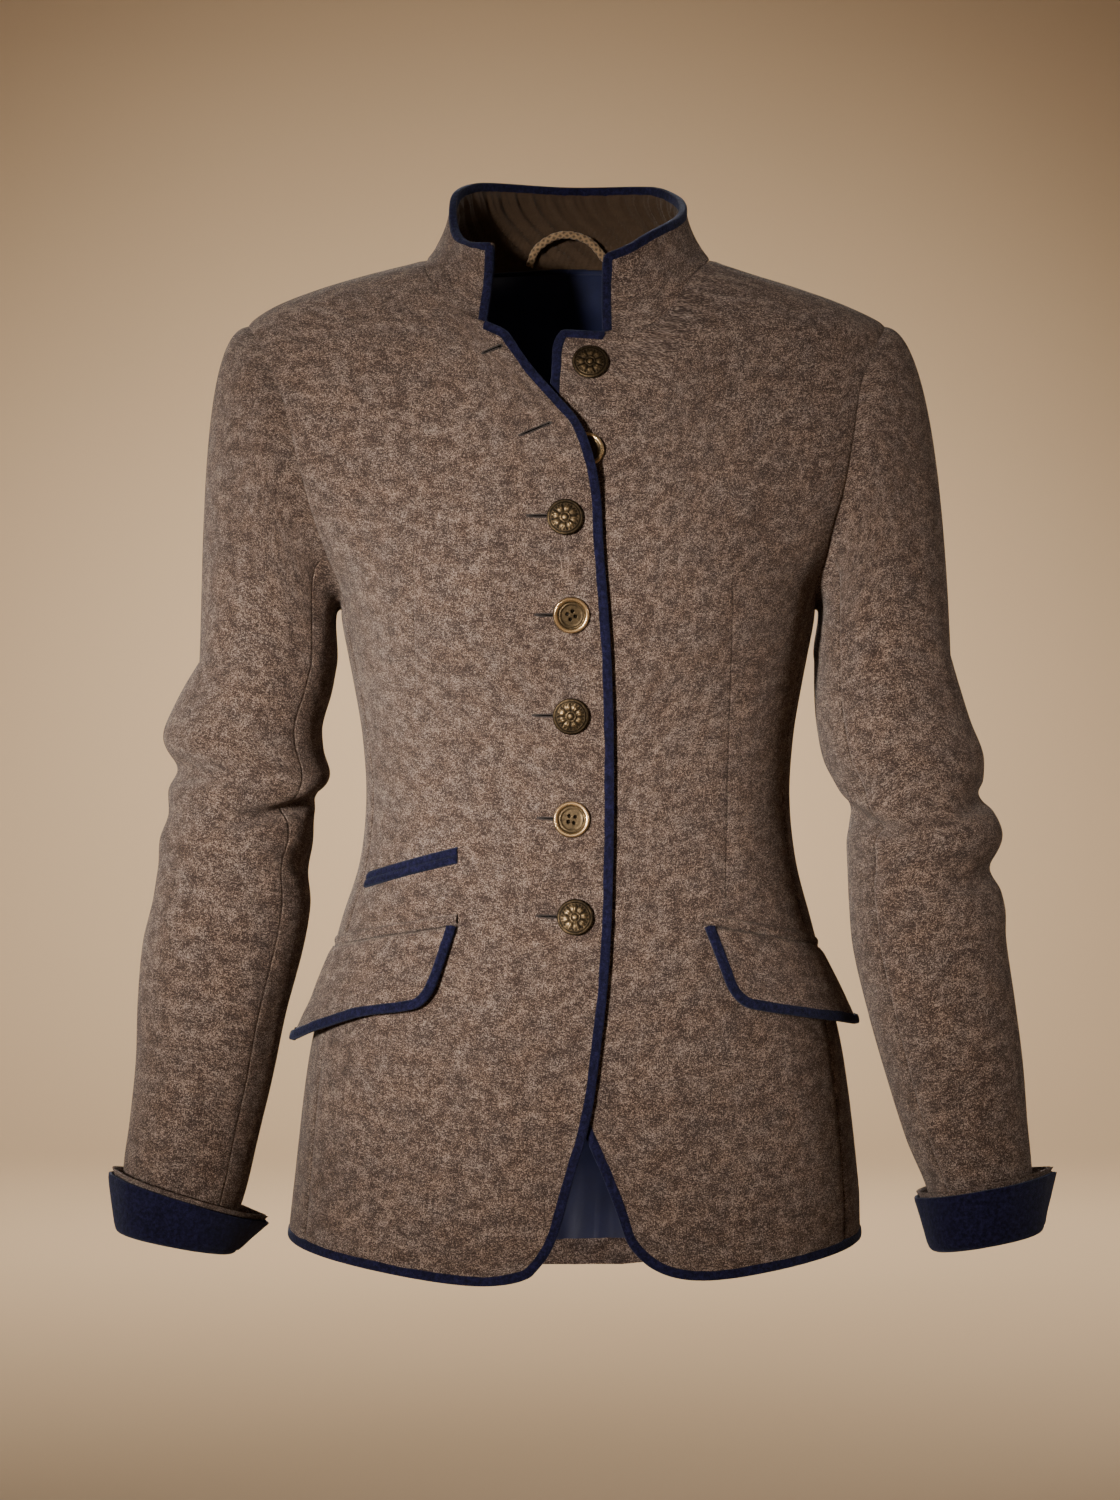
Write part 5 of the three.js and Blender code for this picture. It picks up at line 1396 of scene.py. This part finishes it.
class BLAZER_OT_collar(bpy.types.Operator):
    """Adds the stand collar and its puckered cotton facing"""
    bl_idname = "blazer.collar"
    bl_label = "Collar"

    def execute(self, context):
        points, normals = collar_grid(COLLAR_COLUMNS, COLLAR_ROWS)
        across, up, _ = cloth_uv(points)
        slack = 0.5 * waves(across + up, 71, 80, 4)
        points = points + normals * slack[..., None] * (up / 30 > 0.3)[..., None] * 0.5
        piece = shell("collar", points, normals, WOOL, ("wool",), shift=(7400, 40),
                      edge_round=0.6)
        points, normals = collar_grid(COLLAR_COLUMNS * 2, COLLAR_ROWS, GATHER["below"])
        across, up, _ = cloth_uv(points)
        free = np.minimum(np.minimum(across, across[:, -1:] - across), up[-1:] - up)
        gather = waves(across + 1.5 * np.sin(up / 9), 77, 12, 3)
        gather = np.clip(GATHER["lift"] + GATHER["deep"] * gather, 0, GATHER["most"])
        gather = gather * np.clip((free - GATHER["free"]) / GATHER["fade"], 0, 1) ** 0.7
        gather = gather * (0.4 + 0.6 * np.clip(up / GATHER["foot"], 0, 1))
        inside = points - normals * (WOOL + SEAM + 0.2 + gather)[..., None]
        piece = shell("collar_facing", inside, normals, SATIN, ("cotton",), edge_round=0.1)
        return {"FINISHED"}


class BLAZER_OT_bindings(bpy.types.Operator):
    """Adds the felt bindings of the collar, the front edges and the hem"""
    bl_idname = "blazer.bindings"
    bl_label = "Bindings"

    def execute(self, context):
        width = context.scene.blazer.band / MM
        notch = NOTCH_CELLS * FINE
        for hand, seed in (("right", 11), ("left", 12)):
            front, front_n = panel_grid(f"front_{hand}")
            side, side_n = panel_grid(f"side_{hand}")
            lines = []
            for grid, hem in ((front, side), (front_n, side_n)):
                if hand == "right":
                    parts = [hem[0], grid[0, 1:], grid[1:, -1], grid[-1, -2:-notch - 2:-1]]
                else:
                    parts = [grid[-1, notch:0:-1], grid[::-1, 0], grid[0, 1:], hem[0, 1:]]
                lines.append(np.concatenate(parts))
            band(f"front_binding_{hand}", *lines, WOOL, width, seed)
        lines = [
            np.concatenate([grid[:, -1], grid[-1, -2::-1], grid[-2::-1, 0]])
            for grid in collar_grid(COLLAR_COLUMNS, COLLAR_ROWS)
        ]
        band("collar_binding", *lines, WOOL + SEAM + SATIN, width, 13)
        return {"FINISHED"}


def on_front(x, z, out):
    """Points and normals on the fronts, raised by the overlap and by out."""
    turn = front_turn(x, z)
    normals = torso_normal(turn, z)
    lift = np.where(x < 0, front_lift(x, z), 0) + out
    return torso(turn, z) + normals * lift[..., None], normals


def flap_places(side, u, v):
    """x, z and the way out of a flap: straight from its low edge to its top edge."""
    table = FLAP_LEFT if side > 0 else FLAP_RIGHT
    across = u if side > 0 else 1 - u
    keys = np.linspace(0, 1, len(table))
    top_x, top_z, low_x, low_z = (smooth(keys, table[:, c], across) for c in range(4))
    out = mix(FLAP["bottom"], FLAP["top"], v) * mix(FLAP["inner"], 1, across) + FLAP["clear"]
    curl = 1.6 * np.clip(1 - v * 3, 0, 1) ** 2 * across**3
    return mix(low_x, top_x, v), mix(low_z, top_z, v), out + curl


def rounded(u, v, side):
    """Rounds the flap's low inner corner: there the square of shares is squeezed onto a quarter
    disc, by the larger of its two sides over its diagonal."""
    reach_u, reach_v = FLAP_CORNER["across"], FLAP_CORNER["up"]
    across = u if side > 0 else 1 - u
    a = np.clip(1 - across / reach_u, 0, 1)
    b = np.clip(1 - v / reach_v, 0, 1)
    squeeze = np.maximum(a, b) / np.maximum(np.hypot(a, b), 1e-9)
    squeeze = np.where((a > 0) & (b > 0), squeeze, 1)
    across = np.where(a > 0, reach_u * (1 - a * squeeze), across)
    v = np.where(b > 0, reach_v * (1 - b * squeeze), v)
    return (across if side > 0 else 1 - across), v


class BLAZER_OT_pockets(bpy.types.Operator):
    """Adds the pocket flaps with their bindings, the wool jets and the ticket pocket's welts"""
    bl_idname = "blazer.pockets"
    bl_label = "Pockets"

    def execute(self, context):
        width, turned = context.scene.blazer.band / MM, FLAP_END_ROWS
        for hand, shift in (("right", (8000, 0)), ("left", (8300, 90))):
            side = HANDS[hand]["side"]
            x, z, out = flap_places(side, *rounded(*evenly(*FLAP_GRID), side))
            out = out + 0.4 * waves(x + z, 21 + side, 60, 3)
            points, normals = on_front(x, z, out + WOOL)
            piece = shell(f"flap_{hand}", points, normals, WOOL, ("wool",), ("top",), 1.0, shift,
                          edge_round=0.9)
            lines = [
                np.concatenate([grid[turned::-1, 0], grid[0, 1:], grid[1:, -1]])
                if side < 0 else
                np.concatenate([grid[::-1, 0], grid[0, 1:], grid[1:turned + 1, -1]])
                for grid in (points, normals)
            ]
            band(f"flap_binding_{hand}", *lines, WOOL, width, 15 + side)
            u, v = evenly(*JET_GRID)
            x, z, _ = flap_places(side, u, np.ones(u.shape))
            z = z + JET["above"] + v * JET["high"]
            swell = JET["wall"] + 1.3 * np.sqrt(np.clip(np.sin(np.pi * v), 0, 1))
            swell = swell + 0.2 * waves(x, 25 + side, 30, 3)
            shell(f"pocket_jet_{hand}", *on_front(x, z, swell), TURNUP, ("wool",),
                  ("top", "bottom"), 0.5, (shift[0] + 40, 150), edge_round=0.3)
        u, v = evenly(*WELT_GRID)
        for k, name in enumerate(("upper", "lower")):
            x = mix(TICKET["out_x"] + 3.4 - 2 * (1 - v + k), TICKET["in_x"], u)
            z = mix(TICKET["out_z"], TICKET["in_z"], u) - k * (TICKET["high"] - 0.8)
            z = z - (1 - v) * TICKET["high"] + 0.9 * np.sin(np.pi * u)
            swell = 1.5 - 0.6 * k + 1.0 * np.sqrt(np.clip(np.sin(np.pi * v), 0, 1))
            swell = swell + (1 - u) * TICKET["bow"] + 0.15 * waves(x, 41 + k, 24, 3)
            shell(f"ticket_welt_{name}", *on_front(x, z, swell), WELT, ("felt",),
                  ("top", "bottom"), 0.3, edge_round=0.3)
        return {"FINISHED"}


def button_height(r, angle, flat, seed):
    """Height over the button's face at a share r of its radius, and how raised the place is.
    A domed one has a rope rim and a rosette of eight petals around a small boss; a flat one has
    a broad bright rim and four holes."""
    rim = np.exp(-(((r - 0.92) / 0.07) ** 2))
    if flat:
        rim = 1 / (1 + np.exp(-(r - 0.76) / 0.025)) * np.clip((1.03 - r) / 0.09, 0, 1)
        height = 1.6 + 1.15 * rim + 0.25 * np.exp(-(((r - 0.62) / 0.05) ** 2))
        x, y = r * np.cos(angle), r * np.sin(angle)
        holes = np.zeros(r.shape)
        for hx, hy in HOLES:
            holes += np.exp(-((((x - hx) ** 2 + (y - hy) ** 2) / 0.0055) ** 2))
        height = height - 1.5 * holes - 0.9 * np.clip((r - 0.95) / 0.05, 0, 1)
        return height, np.clip(0.38 + 0.6 * rim - 1.2 * holes, 0, 1)
    dome = 1.5 + 1.5 * np.sqrt(np.clip(1 - (r / 1.02) ** 2, 0, 1))
    rope = 0.32 * rim * (0.75 + 0.25 * np.cos(44 * angle + 9 * r))
    petal = np.abs(np.cos(4 * angle + seed)) ** 0.7
    leaf = np.exp(-(((r - 0.50) / 0.17) ** 2)) * petal
    vein = np.exp(-(((r - 0.50) / 0.14) ** 2)) * np.exp(-((np.sin(4 * angle + seed) / 0.16) ** 2))
    boss = np.exp(-((r / 0.15) ** 4))
    ring = np.exp(-(((r - 0.25) / 0.035) ** 2)) + np.exp(-(((r - 0.77) / 0.03) ** 2))
    beads = np.exp(-(((r - 0.70) / 0.035) ** 2)) * np.clip(np.cos(24 * angle), 0, 1)
    relief = 0.55 * leaf - 0.20 * vein + 0.5 * boss + 0.28 * ring + 0.35 * beads
    raised = np.clip(0.14 + 1.0 * relief + 0.3 * rim - 0.1 * r, 0, 1)
    return dome + rope + relief * 0.85, raised


class BLAZER_OT_buttons(bpy.types.Operator):
    """Adds the seven brass buttons, four domed and three with four holes"""
    bl_idname = "blazer.buttons"
    bl_label = "Buttons"

    def execute(self, context):
        rings, sides = BUTTON["rings"], BUTTON["sides"]
        r = np.linspace(0, 1, rings + 1)[1:]
        angle = np.linspace(0, 2 * np.pi, sides, endpoint=False)
        face_r, face_a = np.meshgrid(r, angle, indexing="ij")
        wide = np.concatenate([face_r, np.repeat(BUTTON_BACK[:, :1], sides, 1)])
        turns = np.concatenate([face_a, np.tile(angle, (len(BUTTON_BACK), 1))])
        for k, (x, z, flat, upper) in enumerate(BUTTONS):
            turn = front_turn(x, z)
            normal = torso_normal(turn, z)
            lift = float(front_lift(x, z)) if upper else 0.0
            base = torso(turn, z) + normal * (lift + BUTTON["lift"])
            across = unit(np.cross([0, 0, 1.0], normal))
            up = np.cross(normal, across)
            height, raised = button_height(face_r, face_a + 0.35 * k, flat, 0.6 * k)
            middle = button_height(np.zeros(1), np.zeros(1), flat, 0)
            tall = np.concatenate([height, np.repeat(BUTTON_BACK[:, 1:], sides, 1)])
            shine = np.concatenate([raised, np.full((len(BUTTON_BACK), sides), 0.2)])
            rows = (
                base
                + across * (BUTTON["radius"] * wide * np.cos(turns))[..., None]
                + up * (BUTTON["radius"] * wide * np.sin(turns))[..., None]
                + normal * tall[..., None]
            )[::-1]
            points = np.concatenate([rows.reshape(-1, 3), [base, base + normal * middle[0]]])
            shine = np.concatenate([shine[::-1].ravel(), [0.2], middle[1]])
            lines = np.stack([shine, np.full(shine.shape, FAR), shine * 0], -1)
            collect(f"button_{k + 1}", points, ringed(rows), np.zeros((len(points), 2)), lines,
                    ("brass",))
        return {"FINISHED"}


def hole_thread(middle, half, along, across, start):
    """The twist around a buttonhole: a tube along a narrow blunt oval, wider at its eye."""
    angle = np.linspace(0, 2 * np.pi, 73)
    around = np.linspace(0, 2 * np.pi, 9)[:-1]
    a = np.sign(np.cos(angle)) * np.abs(np.cos(angle)) ** 0.5 * half
    b = np.sin(angle) * (0.75 + 0.5 * (a > half - 2.4))
    centre = middle + a[:, None] * along + b[:, None] * across
    place, normal = on_front(centre[:, 0], centre[:, 1], np.full(len(a), 0.35))
    sideways = unit(np.cross(normal, unit(np.gradient(place, axis=0))))
    wide = 0.42 + 0.05 * np.sin(reached(place) * 7)
    rings = rings_about(place, sideways, normal, wide[:, None], around)
    block, uv = capped(rings, [rings[0].mean(0), rings[-1].mean(0)], reached(place), around)
    return block, ringed(rings, start), uv


def hole_shade_sheet(middle, half, along, across, start):
    """A thin lens, with a round eye near its outer end, that carries the painted shade inside a
    buttonhole.
    """
    columns, rows = 25, 5
    u, v = evenly(columns, rows, -1)
    a = u * half * 0.97
    eye = 0.85 * np.exp(-(((u - 0.86) / 0.12) ** 2))
    b = v * (0.8 + eye) * np.sqrt(np.clip(1.02 - u**2, 0, 1))
    centre = middle + a[..., None] * along + b[..., None] * across
    place, normal = on_front(centre[..., 0], centre[..., 1], np.full(a.shape, 0.12))
    block = np.concatenate([place.reshape(-1, 3), (place - normal * 0.5).reshape(-1, 3)])
    return block, wall_faces(rows, columns, start), np.zeros((len(block), 2))


class BLAZER_OT_buttonholes(bpy.types.Operator):
    """Adds the worked buttonholes of the upper front"""
    bl_idname = "blazer.buttonholes"
    bl_label = "Buttonholes"

    def execute(self, context):
        # The gap pieces are a sheet of painted shade in each buttonhole's slit.
        for key, make in (("thread", hole_thread), ("gap", hole_shade_sheet)):
            points, faces, uvs, start = [], [], [], 0
            for x0, z0, x1, z1 in BUTTONHOLES:
                ends = np.array([[x0, z0], [x1, z1]], float)
                half = np.linalg.norm(ends[1] - ends[0]) / 2
                along = (ends[1] - ends[0]) / (2 * half)
                across = np.array([-along[1], along[0]])
                block, block_faces, uv = make(ends.mean(0), half, along, across, start)
                points.append(block)
                faces += block_faces
                uvs.append(uv)
                start += len(block)
            collect(f"buttonhole_{key}", np.concatenate(points), faces, np.concatenate(uvs),
                    np.full((start, 3), FAR), (key,), stands=False)
        return {"FINISHED"}


class BLAZER_OT_hanger_loop(bpy.types.Operator):
    """Adds the braided hanger loop at the back of the neck"""
    bl_idname = "blazer.hanger_loop"
    bl_label = "Hanger loop"

    def execute(self, context):
        path = through(LOOP, 110)
        length = reached(path)
        along = unit(np.gradient(path, axis=0))
        side = unit(np.cross([0.0, 1.0, 0.0], along))
        angle = np.linspace(0, 2 * np.pi, 33)[:-1]
        strands = [np.cos(3 * angle[None] + way * length[:, None] * 1.15) for way in (1, -1)]
        radius = LOOP_RADIUS * (0.93 + 0.07 * np.maximum(*strands))
        rings = rings_about(path, side, np.cross(along, side), radius, angle)
        points, uv = capped(rings, [path[0], path[-1]], length, angle * LOOP_RADIUS, length[-1])
        piece = collect("hanger_loop", points, ringed(rings), uv, np.full((len(points), 3), FAR),
                        ("cord",))
        return {"FINISHED"}


class BLAZER_OT_stage(bpy.types.Operator):
    """Adds the pale floor, the soft lights and the camera"""
    bl_idname = "blazer.stage"
    bl_label = "Floor, lights and camera"

    def execute(self, context):
        scene = context.scene
        radius = np.concatenate([[0.02], np.linspace(0.5, 5.2, 30), np.linspace(5.4, 6.6, 12)])
        sides = FLOOR["sides"]
        angle = np.linspace(0, 2 * np.pi, sides + 1)[:-1]
        rise = FLOOR["rise"] * np.clip((radius - FLOOR["flat"]) / FLOOR["curve"], 0, 1) ** 2
        r, a = np.meshgrid(radius, angle, indexing="ij")
        height = np.broadcast_to(rise[:, None], r.shape) + FLOOR["z"]
        points = np.stack([r * np.cos(a), r * np.sin(a), height], -1)
        j, k = np.meshgrid(np.arange(len(radius) - 1), np.arange(sides), indexing="ij")
        first, second = (j * sides + k).ravel(), (j * sides + (k + 1) % sides).ravel()
        faces = np.stack([first + sides, second + sides, second, first], 1).tolist()
        faces.append(list(range(sides)))
        mesh = bpy.data.meshes.new("floor")
        mesh.from_pydata(points.reshape(-1, 3).tolist(), [], faces)
        mesh.materials.append(backdrop_paint(scene.blazer))
        mesh.polygons.foreach_set("use_smooth", np.ones(len(mesh.polygons), bool))
        floor = bpy.data.objects.new("floor", mesh)
        scene.collection.objects.link(floor)
        for name, place, aim, size, power, colour, beam in LIGHTS:
            light = bpy.data.lights.new(name, "AREA")
            light.shape, light.size, light.energy, light.color = "DISK", size, power, colour
            light.spread = np.radians(beam)
            lamp = bpy.data.objects.new(name, light)
            lamp.location = place
            away = unit(np.array(place) - np.array(aim))
            right = unit(np.cross([0, 0, 1.0], away))
            turned = Matrix(np.stack([right, np.cross(away, right), away], 1).tolist())
            lamp.rotation_euler = turned.to_euler()
            scene.collection.objects.link(lamp)
        world = bpy.data.worlds.new("room")
        world.use_nodes = True
        room = world.node_tree.nodes["Background"].inputs
        room[0].default_value = (*linear(ROOM["colour"]), 1)
        room[1].default_value = ROOM["light"]
        scene.world = world
        camera = bpy.data.cameras.new("camera")
        camera.sensor_fit = "VERTICAL"
        camera.sensor_height = CAMERA["film"]
        camera.lens = CAMERA["film"] * CAMERA["focus"] / CAMERA["frame"]
        eye = bpy.data.objects.new("camera", camera)
        eye.location = (CAMERA["x"], CAMERA["y"], CAMERA["z"])
        eye.rotation_euler = (np.pi / 2, 0, 0)
        scene.collection.objects.link(eye)
        scene.camera = eye
        return {"FINISHED"}


class BLAZER_PT_panel(bpy.types.Panel):
    """Lists the settings and the pieces"""
    bl_idname = "BLAZER_PT_panel"
    bl_label = "Blazer"
    bl_space_type = "VIEW_3D"
    bl_region_type = "UI"
    bl_category = "Blazer"

    def draw(self, context):
        settings = context.scene.blazer
        for key in BlazerSettings.__annotations__:
            self.layout.prop(settings, key)
        for operator in OPERATORS:
            self.layout.operator(operator.bl_idname)


OPERATORS = (
    BLAZER_OT_stage, BLAZER_OT_hanger_loop, BLAZER_OT_fronts, BLAZER_OT_sides, BLAZER_OT_backs,
    BLAZER_OT_lining, BLAZER_OT_sleeves, BLAZER_OT_cuffs, BLAZER_OT_collar, BLAZER_OT_bindings,
    BLAZER_OT_pockets, BLAZER_OT_buttons, BLAZER_OT_buttonholes,
)
CLASSES = (BlazerSettings, *OPERATORS, BLAZER_PT_panel)


def register():
    for cls in CLASSES:
        bpy.utils.register_class(cls)
    bpy.types.Scene.blazer = bpy.props.PointerProperty(type=BlazerSettings)


def unregister():
    del bpy.types.Scene.blazer
    for cls in reversed(CLASSES):
        bpy.utils.unregister_class(cls)


def main():
    register()
    for operator in OPERATORS:
        group, name = operator.bl_idname.split(".")
        getattr(getattr(bpy.ops, group), name)()
    bpy.context.view_layer.update()


if __name__ == "__main__":
    main()
